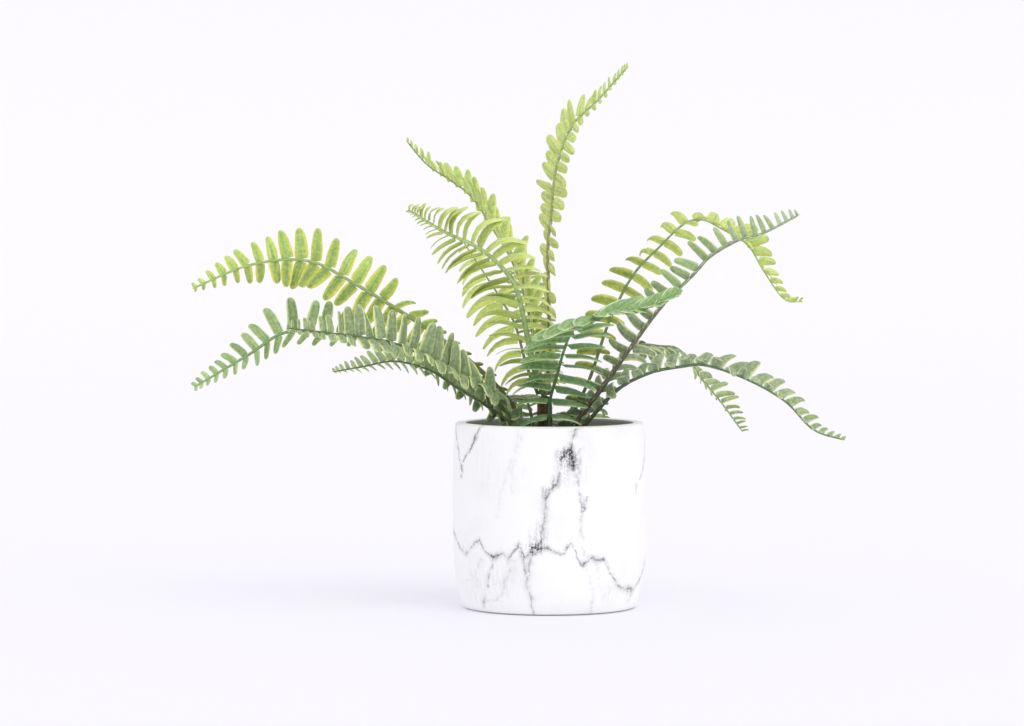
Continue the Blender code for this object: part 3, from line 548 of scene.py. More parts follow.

# Each frond: the midrib's course from the crown to the tip (mm), the way its upper face looks
# along it, its tone (0 for the oldest to 1 for the youngest), the number of leaflet pairs, the
# longest leaflet and the bare stalk below them (mm), and its colours: the leaflets' rim, and the
# leaflets' flesh and the stalk from the foot to the tip. The flesh colours are partly the leaflets'
# own and partly painted light and shading: darker towards the foot for the shadow round the crown,
# though lifted in places against that shadow as painted light where leaflets turn from the light.
# Droop and curl bend the leaflets down and under, crowding packs them towards the tip, and stout
# thickens the midrib.
# Each row of leaflets has numbers, or lists from the foot to the tip, and a frond without a right
# row has the left one's on both sides. Angles are in degrees: fold lifts the row towards the upper
# face, lean tips it forward, and twist turns each leaflet's own face towards the tip. Size and
# width multiply a leaflet's length and breadth, point narrows its end, arch rolls it under, sweep
# curves it forward, shade darkens it as painted shading on a row that turns away from the light,
# and stray scatters its angles more or less than usual.
FRONDS = {
    "frond_front": dict(
        course=[(1, -8, 100), (0, -13, 126), (5, -24, 146), (9, -38, 161), (15, -54, 174), (30, -76, 183),
            (54, -92, 186.5), (75, -99, 195.5)],
        facing=[(0, 0.9, 0.4), (0, 0.8, 0.6), (-0.3, 0, 1), (-0.3, -0.6, 0.8)], tone=0.25, pairs=23,
        pinna=22, bare=5, rim="#e2f2b8", flesh="#769e68 #80a86c #8ab06e #98be78",
        stalk="#486b3c #6a9656 #84b06c",
        left=dict(fold=[10, 10, 10, 20, 30, 40], lean=[0, 0, 0, 2, 15, 30, 38, 45, 48],
            twist=[100, 92, 78, 62, 45, 15, 0, 0, 0], size=[1.25, 1.3, 1.3, 1.15, 1.2, 1.1, 1.2, 1.3, 1.8],
            width=[1, 1.1, 1.4, 1.6, 1.6], point=[0.35, 0.35, 0.1]),
        right=dict(fold=[10, 8, 6, 4, 2, 10, 34, 44, 44], lean=[0, 0, 0, 0, 4, 26, 52, 55, 50],
            twist=[100, 92, 78, 62, 45, 15, 0, 0, 0], size=[1.15, 1.12, 1.12, 1.2, 1.4, 1.4, 1.2, 1.3, 1.6],
            width=[1, 1.1, 1.3, 1.5, 1.4], point=[0.35, 0.35, 0.1])),
    "frond_centre_left": dict(
        course=[(-3, -1, 132), (-10, -12, 151), (-19, -28, 194), (-28, -34, 210), (-43, -42, 223),
            (-64, -50, 233), (-85, -58, 246)],
        facing=[(0, 1, 0.2), (0.1, 1, 0.2), (0.2, 0.95, 0.3)], tone=0.8, pairs=31, pinna=25, bare=5,
        droop=0.14, curl=0.12, crowding=1.65, stout=1.8, rim="#d8de7c",
        flesh="#b8ca80 #d6e894 #d4e692 #d2e48e", stalk="#74905a #b4cc8a #c8de9a",
        left=dict(lean=[5, 5, 0, -5, -10, 4, 22, 38, 40], twist=[82, 86, 90, 92],
            size=[0.88, 0.88, 0.88, 0.86, 0.88, 0.98, 1.2, 1.45, 1.3], width=[0.92, 0.9, 0.92, 1.05, 1.4],
            point=0.3, arch=[0.35, 0.35, 0.35, 0.4, 0.6, 0.6]),
        right=dict(lean=[20, 25, 28, 32, 34, 32, 42, 48, 45], twist=[52, 50], point=0.3,
            size=[1, 1, 1, 1.06, 1.12, 1.02, 1.12, 0.6, 0.5], width=[1.15, 1.15, 1.15, 0.95], arch=0.2)),
    "frond_left_front": dict(
        course=[(-11.5, -3, 99), (-37, -14, 134), (-58, -28, 145), (-76, -42, 157), (-95, -56, 166),
            (-114, -70, 170), (-156, -96, 176)],
        facing=[(0.3, -0.7, 0.6), (0, -0.82, 0.57)], tone=0.15, pairs=25, pinna=22, bare=10, curl=0.1,
        rim="#e2ea9e", flesh="#849e70 #92a678 #90a478 #9aae7a",
        stalk="#54503a #708658 #7e9264 #607450 #5c7048",
        left=dict(fold=[90, 90, 90, 90, 80, 40, 20, 15, 15],
            size=[0.65, 0.66, 0.7, 0.7, 0.66, 0.6, 0.54, 0.62, 0.8], point=0, stray=[2.5, 2, 1.5, 1],
            width=[1.6, 1.6, 1.6, 1.6, 1.7, 1.9, 1.7, 1.2], arch=[1, 1, 1, 1, 0.9, 0.4, 0.2, 0.1, 0.1]),
        right=dict(fold=35, lean=[54, 60, 24, 26, 14, 10, 13, 12, 8], point=[0.4, 0.4, 0.3, 0.15, 0.1],
            size=[0.85, 0.85, 0.93, 1, 0.95, 0.95, 1.1, 0.95, 1.3], sweep=[0.1, 0.06, 0],
            width=[1.25, 1.25, 1.2, 1.2, 1.2, 1.18, 1.15, 1.05, 0.8], stray=[2.5, 2, 1, 1])),
    "frond_left_long": dict(
        course=[(-12.7, 0.5, 98), (-37, -2, 125), (-74, -8, 149), (-107, -14, 165), (-135, -18, 170),
            (-162, -22, 171), (-185, -26, 157), (-217, -30, 138)],
        facing=[(0.2, -0.85, 0.5), (0, -0.9, 0.44)], tone=0.35, pairs=25, pinna=21, bare=14, curl=0.1,
        stout=1.6, rim="#cfe09a", flesh="#6a855c #72895e #749058 #96b074 #b6d090",
        stalk="#4c5c3c #62804c #94b470",
        left=dict(fold=[60, 60, 30, 15, 15], lean=[10, 10, 10, 20, 30, 33, 28, 33, 33],
            size=[0.7, 0.75, 0.6, 0.42, 0.45, 0.6, 0.78, 0.8, 1], width=[1.3, 1.1, 0.9, 1.15],
            arch=[0.6, 0.5, 0.1, 0.1, 0.1]),
        right=dict(fold=[26, 26, 22, 10], size=[0.25, 0.3, 0.35, 0.45, 0.6, 1.04, 1.07, 1.06, 1.1],
            lean=[10, 10, 0, -5, -10, -11, 0, 13, 14], width=[1, 1, 1, 1.02, 1.2], point=0.05)),
    "frond_left_upper": dict(
        course=[(-11.6, 5.9, 99), (-28, 14, 131), (-69, 34, 166), (-126, 54, 201), (-155, 62, 214),
            (-191, 68, 211), (-228, 72, 196)],
        facing=[(0.2, -0.9, 0.4), (0, -1, 0.1)], tone=1, pairs=26, pinna=22, bare=26, droop=0, crowding=1.2,
        stout=1.6, rim="#e6e260", flesh="#74924a #94b65a #b0d274 #c4e084",
        stalk="#4a4634 #7c8c4c #a4bc6c #acc86c",
        left=dict(fold=8, size=[0.35, 0.4, 0.6, 0.8, 0.85, 0.87, 1.05, 0.92, 0.8],
            lean=[5, 5, 5, 5, 0, 0, 3, 12, 20], width=[1.1, 1.1, 1.25, 1.35, 1.38, 1.35, 1.3, 1.25, 1.15],
            point=[0.2, 0.2, 0.25, 0.2], sweep=0.04, painted_shade=[0.34, 0.32, 0.2], stray=1.5),
        right=dict(fold=8, lean=[-45, -42, -35, -33, 0, 14, 8, 12, 14], point=[0.4, 0.4, 0.25, 0.3, 0.3],
            size=[0.35, 0.35, 0.38, 0.6, 0.95, 1, 1.05, 1.12, 0.95], arch=[0.5, 0.5, 0.1, 0.1],
            width=[1.05, 1.05, 1.1, 1.15, 1.2, 1.22, 1.3, 1.4, 1.4], sweep=[0, 0.05, 0.12], stray=1.5)),
    "frond_left_small": dict(
        course=[(-10.5, -6.8, 95), (-27, -12, 117), (-58, -24, 138), (-73, -30, 148), (-94, -38, 154),
            (-113, -44, 151), (-131, -50, 148)],
        facing=[(0.2, -0.3, 0.9), (0, -0.3, 0.95)], tone=0.2, pairs=25, pinna=13, bare=8, droop=0.05,
        curl=0.1, rim="#d8e08c", flesh="#668258 #9eb688 #c0d49c", stalk="#54503a #5c6e46 #6c804e",
        left=dict(fold=[0, -20], lean=[0, -40], size=[0.8, 0.7, 0.75, 1], width=0.7, point=0.6),
        right=dict(fold=[40, 50], lean=[20, 10], size=[1.6, 1.4, 1.1, 1.2, 1.35], width=1.08, point=0.3)),
    "frond_top": dict(
        course=[(-1, 2, 132), (0, 12, 165), (-1, 10, 221), (1, 8, 240), (4, 6, 271), (14, 4, 298),
            (29, 0, 313), (48, -6, 334)],
        facing=[(-0.95, -0.3, 0), (-0.95, -0.3, 0.1), (-0.5, -0.8, 0.3), (-0.4, -0.8, 0.4)], tone=0.9,
        pairs=31, pinna=20, bare=10, crowding=1.45, stout=1.25, rim="#dee280",
        flesh="#d0e092 #d2e28c #c8dc86 #cce48e", stalk="#6a5c44 #a89c74 #a8b878 #9cbc6c",
        left=dict(fold=[2, 2, 2, 20], lean=[10, 10, 10, 12, 14, 25, 50, 42, 45],
            size=[1, 0.86, 0.76, 0.76, 0.74, 0.72, 1.2, 0.9, 1.2], point=[0.2, 0.2, 0.3, 0.5],
            width=[1.5, 1.5, 1.5, 1.45, 1.5, 1.6, 1, 0.8, 0.8], sweep=[0.15, 0.15, 0.02]),
        right=dict(fold=[8, 8, 30, 40], lean=[-4, -4, -10, 10], size=[0.95, 0.75, 0.65, 0.6],
            width=[1.35, 1.4, 1.4, 1], point=0.1)),
    "frond_high_left": dict(
        course=[(-5.2, 4.2, 132), (-6.5, 9.5, 148), (-15, 28, 190), (-24, 38, 215), (-35, 46, 233),
            (-49, 54, 254), (-63, 60, 265), (-78, 66, 275), (-91, 70, 290)],
        facing=[(0.5, -0.8, 0.2), (0.5, -0.7, 0.4), (0.5, -0.3, 0.8)], tone=1, pairs=25, pinna=24, bare=14,
        droop=0, crowding=1.25, rim="#e6e884", flesh="#a8c268 #b8d078 #bcd87e #c2dc82",
        stalk="#6a7042 #94ae62 #7c9868",
        left=dict(fold=70, lean=30, size=0.8, width=0.8),
        right=dict(fold=25, lean=[50, 54, 56, 58, 58, 58, 52, 46, 46], twist=[20, 22, 18, 0],
            size=[1, 1, 1, 1, 0.9, 0.85, 0.95, 1.1, 1.4],
            width=[1, 1, 1.05, 1.12, 1.2, 1.2, 1.1, 0.85, 0.8], point=[0.4, 0.4, 0.5], sweep=0.02)),
    "frond_inner_left": dict(
        course=[(-7, 0.2, 132), (-14, 3, 149), (-21, 5, 174), (-29, 6, 189), (-38, 8, 203), (-54, 12, 227)],
        facing=[(0, -1, 0.2), (0.2, -0.9, 0.3)], tone=0.85, pairs=15, pinna=25, bare=5, droop=0.45,
        rim="#e0e27c", flesh="#b8c86e #d0e480 #cce084", stalk="#66663f #8c9a5c #9caa62",
        left=dict(fold=5, lean=15, twist=[30, 25], width=0.85, point=0.4),
        right=dict(fold=5, twist=[45, 40], size=0.9, width=0.9, point=0.6)),
    "frond_right_upper": dict(
        course=[(4.4, 7.7, 100), (24, 10, 139), (37, 18, 176), (52, 26, 205), (68, 32, 222), (84, 38, 237),
            (96, 41, 240), (107, 44, 235), (125, 48, 224), (135, 50, 208), (148, 52, 190), (159, 54, 188)],
        facing=[(0, -1, 0.1), (0, -1, 0.1), (0, -1, 0.2), (0.1, -0.4, 0.9), (0.6, -0.3, 0.8),
            (0.8, -0.3, 0.5), (0.8, -0.3, 0.5)],
        tone=0.95, pairs=29, pinna=17, bare=14, droop=0.15, curl=0.2, rim="#d4d664",
        flesh="#6a7e3e #92a24e #a0b256 #c8de82 #d0e68c #c4de78",
        stalk="#545038 #6a7c48 #7e9258 #a6c06c #aaca68",
        left=dict(fold=[5, 5, 5, 5, 8, 22, 66, 62, 62], size=[0.6, 0.8, 1, 1, 1.05, 1, 1.25, 1.3, 1.4],
            lean=[-8, -8, -8, -9, -8, 3, 28, 33, 35], width=[1.2, 1.2, 1.2, 1.1, 0.95, 1.2, 1.8, 1.05, 1],
            point=[0.1, 0.1, 0.6, 0.3, 0.1], arch=[0.1, 0.1, 0.1, 0.15, 0.7, 0.9, 0.1, 0.1, 0.1]),
        right=dict(fold=[5, 5, 5, 5, 5, 45, 40, 50, 60], lean=[0, 0, 0, 0, 4, 15, 15, 25, 25],
            size=[0.4, 0.4, 0.5, 1, 1, 0.8, 0.85, 0.95, 1], width=[1.1, 1.1, 1.1, 1, 0.9, 1.25, 1.5, 1, 1],
            point=0.1, arch=[0.1, 0.1, 0.15, 0.3, 0.1])),
    "frond_right_long": dict(
        course=[(5.5, -3, 100), (32, -9, 136), (66, -24, 184), (87, -32, 206), (98, -37, 218),
            (115, -44, 228), (129, -50, 232), (150, -58, 243)],
        facing=[(-0.5, -0.7, 0.4), (-0.5, -0.7, 0.5), (-0.2, -0.6, 0.8)], tone=0.2, pairs=27, pinna=18,
        bare=10, stout=1.5, rim="#dae4a6", flesh="#5c7656 #889a70 #a8c284 #c8dab0",
        stalk="#54483a #6c6850 #8c9080 #a4b494",
        left=dict(fold=40, lean=[-25, -20, -16, -8, -11, -14, -8, 0, 0],
            size=[0.72, 0.72, 0.75, 0.9, 0.88, 0.92, 1.1, 1.5, 1.7],
            width=[1.1, 1.1, 1.05, 1.1, 1.05, 0.95, 0.9, 0.9, 0.9], point=[0.1, 0.1, 0.2, 0.4],
            arch=[0.3, 0.3, 0.1, 0.05], sweep=[0, 0, 0.05, 0.45, 0.15, 0.02, 0, 0, 0]),
        right=dict(fold=[65, 65, 60], lean=[30, 45, 60], size=[0.4, 0.45, 0.6, 0.6, 0.8])),
    "frond_right_lower": dict(
        course=[(8.2, 0.5, 96), (27, -3, 119), (43, -7, 136), (62, -13, 146), (81, -19, 150),
            (96, -24, 151), (120, -32, 143), (143, -40, 130), (160, -46, 113), (178, -52, 107)],
        facing=[(-0.5, -0.3, 0.8), (0, -0.2, 1), (0.2, -0.2, 1)], tone=0.3, pairs=24, pinna=17, bare=8,
        curl=0.2, stout=1.2, rim="#dce8b0", flesh="#80966f #94a882 #a0b286 #a4ba86",
        stalk="#54483a #64785a #6c865c #809868",
        left=dict(fold=50, lean=[15, 22, 22, 14, 10], size=[0.85, 0.9, 0.95, 1, 1.05, 1.15, 1.3],
            width=[1.3, 1.3, 1.4, 1.3], point=0.35, arch=[0.6, 0.6, 0.6, 0.35, 0.3]),
        right=dict(fold=60, lean=15, size=[0.9, 0.9, 0.8], width=1.4, point=0.3, arch=0.6)),
    "frond_right_drooping": dict(
        course=[(7.6, 5, 96), (28, 8, 130), (48, 14, 157), (57, 20, 162), (68, 30, 161), (82, 40, 158),
            (95, 50, 141), (109, 58, 124), (123, 66, 105)],
        facing=[(-0.3, -0.3, 0.9), (0, -0.2, 1), (0.2, -0.95, 0.2)], tone=0.5, pairs=27, pinna=15, bare=16,
        curl=0.1, rim="#e2e68a", flesh="#6a8060 #96a88c #9eb484 #a0b878", stalk="#54483a #7c8c66 #8ca26c",
        left=dict(fold=[20, 10, -8, -8, 0, 5, 5], lean=[20, 25, 45, 48, 36, 25, 25],
            size=[1, 1.1, 1.25, 1.2, 1.4, 1.8, 1.9], width=[1.1, 1.2, 1.1, 0.75, 0.6], point=0.25,
            arch=[0.3, 0.4, 0.5, 0.15, 0], painted_shade=[0, 0, 0, 0.1]),
        right=dict(fold=[20, 10, -12, -12, 40, 65, 65], lean=[20, 25, 45, 50, 20, 5, 5], point=0.25,
            size=[1, 1.1, 0.9, 0.5, 0.45], width=[1.1, 1.2, 1.2, 1], arch=[0.3, 0.4, 0.5, 0.4, 0.1])),
    "frond_back_high": dict(
        course=[(-1.2, 5.6, 132), (-1.5, 18, 146), (-9, 44, 176), (-14, 66, 198), (-19, 88, 207),
            (-26, 108, 204)],
        facing=[(0, -1, 0.3), (0, -0.2, 1), (0, 0.2, 1)], tone=0.4, pairs=18, pinna=14, bare=10, droop=0.15,
        rim="#c4d28c", flesh="#6a7e4c #8ea468 #9cb276", stalk="#4a4028 #748654 #8aa26a",
        left=dict(fold=[10, 15], lean=12, twist=[30, 0])),
    "frond_back_left": dict(
        course=[(-7.2, 11.9, 96), (-11, 24, 116), (-15, 44, 127), (-20, 66, 126), (-27, 90, 108),
            (-33, 110, 80), (-36, 122, 52)],
        facing=[(0, -0.6, 0.8), (0, 0.1, 1), (0, 0.9, 0.5)], tone=0.5, pairs=21, pinna=16, bare=12,
        droop=0.15, rim="#c4d484", flesh="#5a7244 #7a925a #9eba6e", stalk="#33271c #687850 #8ba26c",
        left=dict(fold=[15, 20], lean=12, twist=[20, 0], size=[0.8, 0.8, 1, 1])),
    "frond_back_right": dict(
        course=[(1.6, 11.7, 96), (11, 24, 117), (20, 44, 128), (28, 66, 127), (37, 90, 110), (45, 110, 84),
            (50, 122, 56)],
        facing=[(0, -0.6, 0.8), (0, 0.1, 1), (0, 0.9, 0.5)], tone=0.6, pairs=21, pinna=16, bare=12,
        droop=0.15, rim="#ced87c", flesh="#5a7244 #8aa25e #aac46e", stalk="#33271c #687850 #8ba26c",
        left=dict(fold=[15, 20], lean=12, twist=[20, 0], size=[0.6, 0.7, 1, 1]),
        right=dict(fold=[15, 20], lean=[40, 60, 60, 30, 12], twist=[20, 0], size=[0.15, 0.2, 0.4, 0.9, 1])),
}


def smooth(points, steps=10):
    """Points on a smooth curve through the given ones (Catmull-Rom)."""
    ends = [2 * points[0] - points[1]] + points + [2 * points[-1] - points[-2]]
    curve = []
    for a, b, c, d in zip(ends, ends[1:], ends[2:], ends[3:]):
        for k in range(steps):
            t = k / steps
            curve.append((2 * b + (c - a) * t + (2 * a - 5 * b + 4 * c - d) * t**2
                          + (3 * b - a - 3 * c + d) * t**3) / 2)
    return curve + [points[-1]]


def at_share(values, share):
    """Numbers or vectors spaced evenly along a frond, read at a share of its length."""
    if not isinstance(values, list):
        return values
    at = min(max(share, 0), 1) * (len(values) - 1)
    i = min(int(at), len(values) - 2)
    return values[i] + (values[i + 1] - values[i]) * (at - i)


class Midrib:
    """The line of a frond: its place, direction and facing at any length along it."""

    def __init__(self, form):
        self.line = smooth([Vector(p) * MM for p in form["course"]])
        self.facing = [Vector(f).normalized() for f in form["facing"]]
        self.stout = form["stout"]
        self.runs = [0]
        for a, b in zip(self.line, self.line[1:]):
            self.runs.append(self.runs[-1] + (b - a).length)
        self.length = self.runs[-1]

    def place(self, run):
        run = min(max(run, 0), self.length)
        i = max(k for k, r in enumerate(self.runs[:-1]) if r <= run)
        step = (run - self.runs[i]) / (self.runs[i + 1] - self.runs[i])
        return self.line[i].lerp(self.line[i + 1], step)

    def frame(self, run):
        """Place, direction to the tip, right-hand side and upper face at a length along."""
        ahead = (self.place(run + 2 * MM) - self.place(run - 2 * MM)).normalized()
        face = at_share(self.facing, run / self.length)
        face = (face - ahead * face.dot(ahead)).normalized()
        return self.place(run), ahead, ahead.cross(face), face

    def thickness(self, run):
        return (STALK + (STALK_TIP - STALK) * (run / self.length) ** 0.7) * MM * self.stout


def leaflet_runs(midrib, form):
    """Lengths along the midrib where the pairs stand."""
    bare = form["bare"] * MM
    blade = midrib.length - bare
    pairs = form["pairs"]
    return [bare + blade * (1 - (1 - (i + 0.5) / pairs) ** form["crowding"]) for i in range(pairs)]


def leaflet_length(form, share):
    """Full length along the middle of the frond, less at its foot and least at its tip."""
    foot = FIRST_LEAFLET + (1 - FIRST_LEAFLET) * min(1, share / FULL_FROM)
    tip = TIP_LEAFLET + (1 - TIP_LEAFLET) * min(1, (1 - share) / (1 - TAPER_FROM))
    return form["pinna"] * MM * foot * tip


def grow_leaflet(bm, layers, midrib, run, side, form, share, chance):
    """A copy of the leaflet pattern, bent to its place on one side of a frond."""
    place, ahead, right, up = midrib.frame(run)
    own = form["left"] if side < 0 else form.get("right", form["left"])
    row = {"arch": form["curl"], **ROW, **own}
    here = {key: at_share(values, share) for key, values in row.items()}
    fold, lean, twist = (radians(here[key] + chance.gauss(0, spread * here["stray"]))
                         for key, spread in SCATTER.items())
    length = leaflet_length(form, share) * here["size"] * chance.uniform(0.94, 1.04)
    half = (LEAFLET_NARROWEST * MM + LEAFLET_BROADENING * length) / 2 * here["width"]
    half *= chance.uniform(0.92, 1.06)
    droop = form["droop"] * chance.uniform(0.6, 1.4)
    arch = here["arch"] * chance.uniform(0.5, 1.5)
    sweep = here["sweep"] + chance.uniform(-0.03, 0.03)
    cup = chance.uniform(0.1, 0.35)
    out = right * (side * cos(fold)) + up * sin(fold)
    out = out * cos(lean) + ahead * sin(lean)
    wide = (ahead - out * ahead.dot(out)).normalized()
    flat = out.cross(wide) * side
    wide, flat = wide * cos(twist) - flat * sin(twist), flat * cos(twist) + wide * sin(twist)
    foot = place + out * midrib.thickness(run) * 0.15

    def spine(reach):
        bend = (UP * droop + flat * arch) * reach**2
        return foot + (out - bend).normalized() * (length * reach)

    known = len(bm.verts)
    bm.from_mesh(leaflet.data)
    bm.verts.ensure_lookup_table()
    seed = chance.random()
    # the row's painted shading darkens leaflets that turn from the light, and each leaflet's tone also
    # varies at random
    light = (1 - here["painted_shade"]) * chance.uniform(0.87, 1.12)
    flesh = at_share(form["flesh"], share + chance.gauss(0, 0.05)) * light
    shift = Vector((seed, share, side)) * 7
    for vert in bm.verts[known:]:
        reach, across, level = vert.co
        along = (spine(reach + 0.02) - spine(reach - 0.02)).normalized()
        normal = along.cross(wide).normalized() * side
        wavy = 1 + 0.12 * noise.noise(shift + Vector((reach * 5, across, 0)))
        narrowed = 1 - here["point"] * reach**1.5
        centre = spine(reach) + wide * (sweep * length * reach**2)
        lift = level * LEAFLET_THICK / 2 * MM - cup * half * across**2
        vert.co = centre + wide * (across * half * wavy * narrowed) + normal * lift
        vert[layers["flesh"]] = flesh
        vert[layers["rim"]] = form["rim"]
        vert[layers["seed"]] = seed


def placed(name, data):
    """A new object in the scene."""
    made = bpy.data.objects.new(name, data)
    bpy.context.scene.collection.objects.link(made)
    return made


def make_stalk(name, midrib, chance):
    """The midrib: a bevelled curve that tapers to the tip, made a mesh."""
    curve = bpy.data.curves.new(name, "CURVE")
    curve.dimensions = "3D"
    curve.bevel_depth = 1
    curve.bevel_resolution = 2
    curve.use_fill_caps = True
    spline = curve.splines.new("POLY")
    count = max(24, round(midrib.length / (STALK_STEP * MM)))
    spline.points.add(count - 1)
    for k, point in enumerate(spline.points):
        run = midrib.length * k / (count - 1)
        knuckle = 1 + 0.06 * sin(run / MM * 1.1) + 0.05 * chance.uniform(-1, 1)
        end = 0.35 if k == count - 1 else 1
        point.co = (*midrib.place(run), 1)
        point.radius = midrib.thickness(run) / 2 * knuckle * end
    select(placed(name, curve))
    bpy.ops.object.convert(target="MESH")
    edit_all()
    bpy.ops.mesh.remove_doubles(threshold=0.00001)
    bpy.ops.mesh.normals_make_consistent(inside=False)
    bpy.ops.object.mode_set(mode="OBJECT")
    return bpy.context.object


def frond_blade(name, rim_start, rim_rise, rim_power):
    """Fern leaf: a waxy upper skin over soft green flesh, paler beneath and to its rim, which starts
    at a share of the half width. Streaked, with fine side veins and a darker line along its middle
    at the foot; it has a soft sheen."""
    material, shader, add = new_material(name)
    along, across, _ = add("SeparateXYZ", add("UVMap", uv_map="leaf")).outputs
    flesh = add("Attribute", attribute_name="flesh").outputs["Vector"]
    rim_colour = add("Attribute", attribute_name="rim").outputs["Vector"]
    seed = add("Attribute", attribute_name="seed").outputs["Fac"]
    under = add("Attribute", attribute_name="underside").outputs["Fac"]
    place = add("TexCoord").outputs["Object"]

    # how far off the leaflet's own middle, which lies nearer one edge or the other
    aside = add("SUBTRACT", across, add("MULTIPLY_ADD", seed, 0.16, 0.42))
    off = add("MULTIPLY", add("ABSOLUTE", aside), 2)
    mottle = add("TexNoise", place, Scale=1 / (2.2 * MM), Detail=4, Roughness=0.65)
    # side veins slant to the tip every 1.2 mm or so, drawn a little coarser than real ones
    slant = add("SUBTRACT", add("MULTIPLY", along, 15), add("MULTIPLY", off, 2.2))
    stripe = add("MULTIPLY_ADD", add("SINE", add("MULTIPLY", slant, 2 * pi)), 0.5, 0.5)
    # streaks along the leaflet, each its own
    flow = add("CombineXYZ", add("MULTIPLY", along, 2), add("MULTIPLY", across, 8),
               add("MULTIPLY", seed, 40))
    streak = add("TexNoise", flow, Scale=1, Detail=3)
    light = add("MULTIPLY_ADD", mottle, 0.9, add("MULTIPLY_ADD", streak, 1.1, -0.13))
    light = add("MULTIPLY_ADD", stripe, 0.08, light)
    light = add("MULTIPLY", light, add("MULTIPLY_ADD", under, 0.06, 1))
    # the leaflet is darker along its middle, most in the lower half
    middle = add("MULTIPLY_ADD", off, -6, 1, use_clamp=True)
    low = add("MULTIPLY_ADD", along, -1.2, 0.85, use_clamp=True)
    green = add("Mix RGBA", add("MULTIPLY", middle, low), add("VectorMath SCALE", flesh, light),
                add("VectorMath SCALE", flesh, 0.5))
    # the flesh pales to the rim at each side and at the tip, ragged with the mottle
    sides = add("MULTIPLY_ADD", off, rim_rise, -rim_start * rim_rise, use_clamp=True)
    edge = add("MAXIMUM", add("POWER", sides, rim_power), add("MULTIPLY_ADD", along, 1.8, -1.3))
    rim = add("ADD", edge, add("MULTIPLY_ADD", mottle, 1.2, -0.6), use_clamp=True)
    ridges = add("ADD", add("MULTIPLY", stripe, 0.5), add("MULTIPLY", mottle, 0.9))
    fill(shader, {
        "Base Color": add("Mix RGBA", add("MULTIPLY", rim, 0.9), green, rim_colour),
        "Normal": add("Bump", Strength=0.5, Distance=0.3 * MM, Height=ridges),
        "Roughness": 0.5, "Specular IOR Level": 0.35})
    return material


def frond_stalk(name):
    """Midrib: hard and brown at the foot, greener and softer upwards, ribbed along."""
    material, shader, add = new_material(name)
    flesh = add("Attribute", attribute_name="flesh").outputs["Vector"]
    fleck = add("TexNoise", add("TexCoord").outputs["Object"], Scale=1 / (1.6 * MM), Detail=4)
    light = add("MULTIPLY_ADD", fleck, 1.1, 0.42)
    fill(shader, {"Base Color": add("VectorMath SCALE", flesh, light), "Roughness": 0.55,
                  "Normal": add("Bump", Strength=0.6, Distance=0.3 * MM, Height=fleck)})
    return material


def shades(codes):
    """The colours of a line of hex codes, as vectors."""
    return [Vector(linear(code)[:3]) for code in codes.split()]


YOUNG_BLADE = frond_blade("young_fern_leaf", 0.25, 1.4, 1.4)
OLD_BLADE = frond_blade("old_fern_leaf", 0.68, 3.4, 1.0)
STALK_FINISH = frond_stalk("ribbed_fern_stalk")
SLOTS = {"bright_frond": 0.75, "mid_frond": 0.32, "deep_frond": 0}  # kind of frond and its lowest tone

for name, own in FRONDS.items():
    form = {**FROND, **own, "flesh": shades(own["flesh"]), "rim": shades(own["rim"])[0]}
    chance = random.Random(name)
    stalk_shades = shades(form["stalk"])
    midrib = Midrib(form)
    stalk = make_stalk(name + "_stalk", midrib, chance)
    bm = bmesh.new()
    bm.from_mesh(stalk.data)
    for face in bm.faces:
        face.material_index = 1
    bm.loops.layers.uv.new("leaf")
    bm.faces.layers.float.new("underside")
    layers = {"flesh": bm.verts.layers.float_vector.new("flesh"),
              "rim": bm.verts.layers.float_vector.new("rim"),
              "seed": bm.verts.layers.float.new("seed")}
    for vert in bm.verts:
        nearest = min(range(len(midrib.line)), key=lambda k: (midrib.line[k] - vert.co).length_squared)
        vert[layers["flesh"]] = at_share(stalk_shades, midrib.runs[nearest] / midrib.length)
    runs = leaflet_runs(midrib, form)
    for run in runs:
        share = (run - runs[0]) / (midrib.length - runs[0])
        for side in (-1, 1):
            grow_leaflet(bm, layers, midrib, run, side, form, share, chance)
    mesh = bpy.data.meshes.new("fern_" + name)
    bm.to_mesh(mesh)
    bm.free()
    frond = placed("fern_" + name, mesh)
    mesh.materials.append(YOUNG_BLADE if form["tone"] >= SLOTS["bright_frond"] else OLD_BLADE)
    mesh.materials.append(STALK_FINISH)
    bpy.data.objects.remove(stalk)
    select(frond)
    bpy.ops.object.shade_smooth_by_angle(angle=radians(STALK_FACET))
    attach(frond, "root")
    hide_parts(name)
bpy.data.objects.remove(leaflet)

# ----------------------------------------
# Studio: a seamless white paper sweep under and behind the plant, a broad soft key light from
# the right and a bright room. The paper glows a little, so that its shadows stay faint.
# ----------------------------------------

SWEEP_HALF = 9.0
SWEEP_BACK = 3.4  # where the floor starts to curve up, behind the plant
SWEEP_RADIUS = 1.2
SWEEP_TOP = 6.0
SWEEP_SINK = 0.00005  # keeps the paper clear of the pot's foot

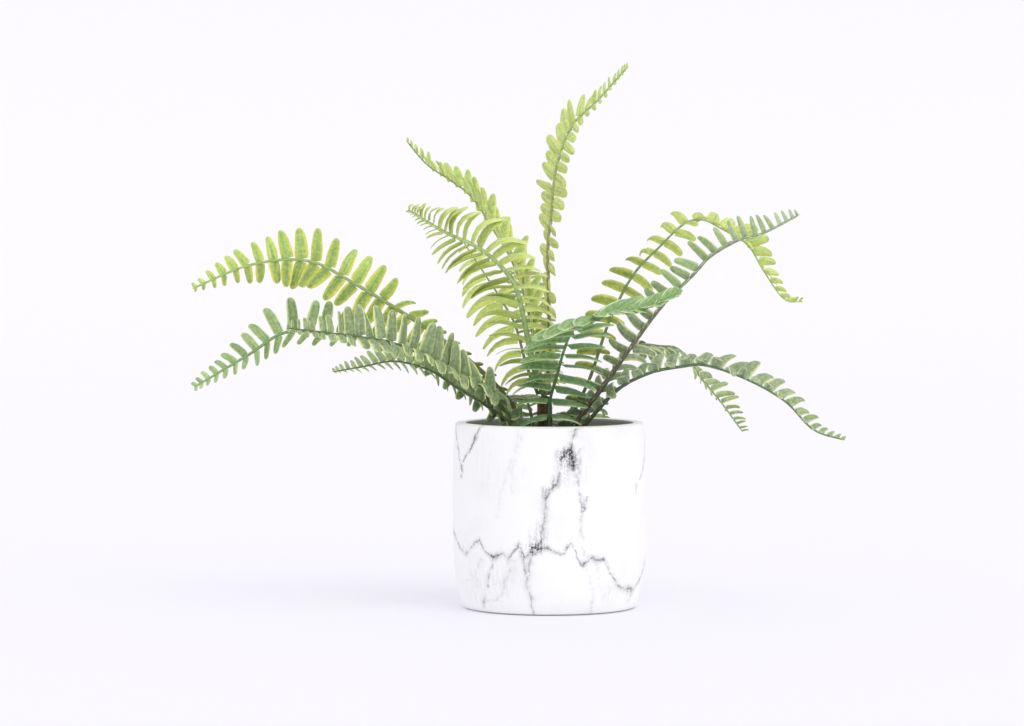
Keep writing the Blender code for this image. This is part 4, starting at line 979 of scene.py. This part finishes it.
select()
bpy.ops.mesh.primitive_plane_add(size=1)
sweep = bpy.context.object
sweep.name = sweep.data.name = "studio_sweep"
for vert in sweep.data.vertices:
    vert.co = (SWEEP_HALF if vert.co.x > 0 else -SWEEP_HALF, SWEEP_BACK if vert.co.y > 0 else -SWEEP_HALF,
               -SWEEP_SINK)
bpy.ops.object.mode_set(mode="EDIT")
bpy.ops.mesh.select_all(action="DESELECT")
bpy.ops.object.mode_set(mode="OBJECT")
for edge in sweep.data.edges:
    edge.select = all(sweep.data.vertices[i].co.y > 0 for i in edge.vertices)
bpy.ops.object.mode_set(mode="EDIT")
bpy.ops.mesh.spin(steps=24, angle=radians(-90), center=(0, SWEEP_BACK, SWEEP_RADIUS), axis=(1, 0, 0))
bpy.ops.mesh.extrude_region_move(TRANSFORM_OT_translate={"value": (0, 0, SWEEP_TOP - SWEEP_RADIUS)})
bpy.ops.object.mode_set(mode="OBJECT")
bpy.ops.object.shade_smooth()
paper, shader, _ = new_material("white_paper_sweep")
fill(shader, {"Base Color": linear("#c4c3c8"), "Roughness": 0.9, "Specular IOR Level": 0.1,
              "Emission Color": linear("#f9f8fd"), "Emission Strength": 0.36})
sweep.data.materials.append(paper)
sweep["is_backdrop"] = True

world = bpy.data.worlds.new("bright_room")
world.use_nodes = True
fill(world.node_tree.nodes["Background"], {"Color": linear("#fcfbff"), "Strength": 0.98})
bpy.context.scene.world = world

key_light = bpy.data.lights.new("soft_key", "SUN")
key_light.energy = 0.74
key_light.angle = radians(50)
key_light.color = (1, 0.99, 0.97)
lamp = placed("soft_key", key_light)
lamp.rotation_euler = Vector((-0.75, 0.8, -1.2)).to_track_quat("-Z", "Y").to_euler()

# The camera looks slightly down from 2.3 m with a long lens
CAMERA_BACK = 2.3
CAMERA_HIGH = 0.245
CAMERA_DOWN = 2.33
CAMERA_LEFT = 0.578
CAMERA_LENS = 130.74

lens = bpy.data.cameras.new("camera")
lens.lens = CAMERA_LENS
lens.sensor_width = 36
camera = placed("camera", lens)
camera.matrix_world = Matrix.Translation((0, -CAMERA_BACK, CAMERA_HIGH)) \
    @ Matrix.Rotation(radians(CAMERA_LEFT), 4, "Z") \
    @ Matrix.Rotation(radians(90 - CAMERA_DOWN), 4, "X")
bpy.context.scene.camera = camera
bpy.context.scene.view_settings.view_transform = "Standard"

boxes = {"cad": cad_box, "visual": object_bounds()}
{key: [list(corner) for corner in box] for key, box in boxes.items()}
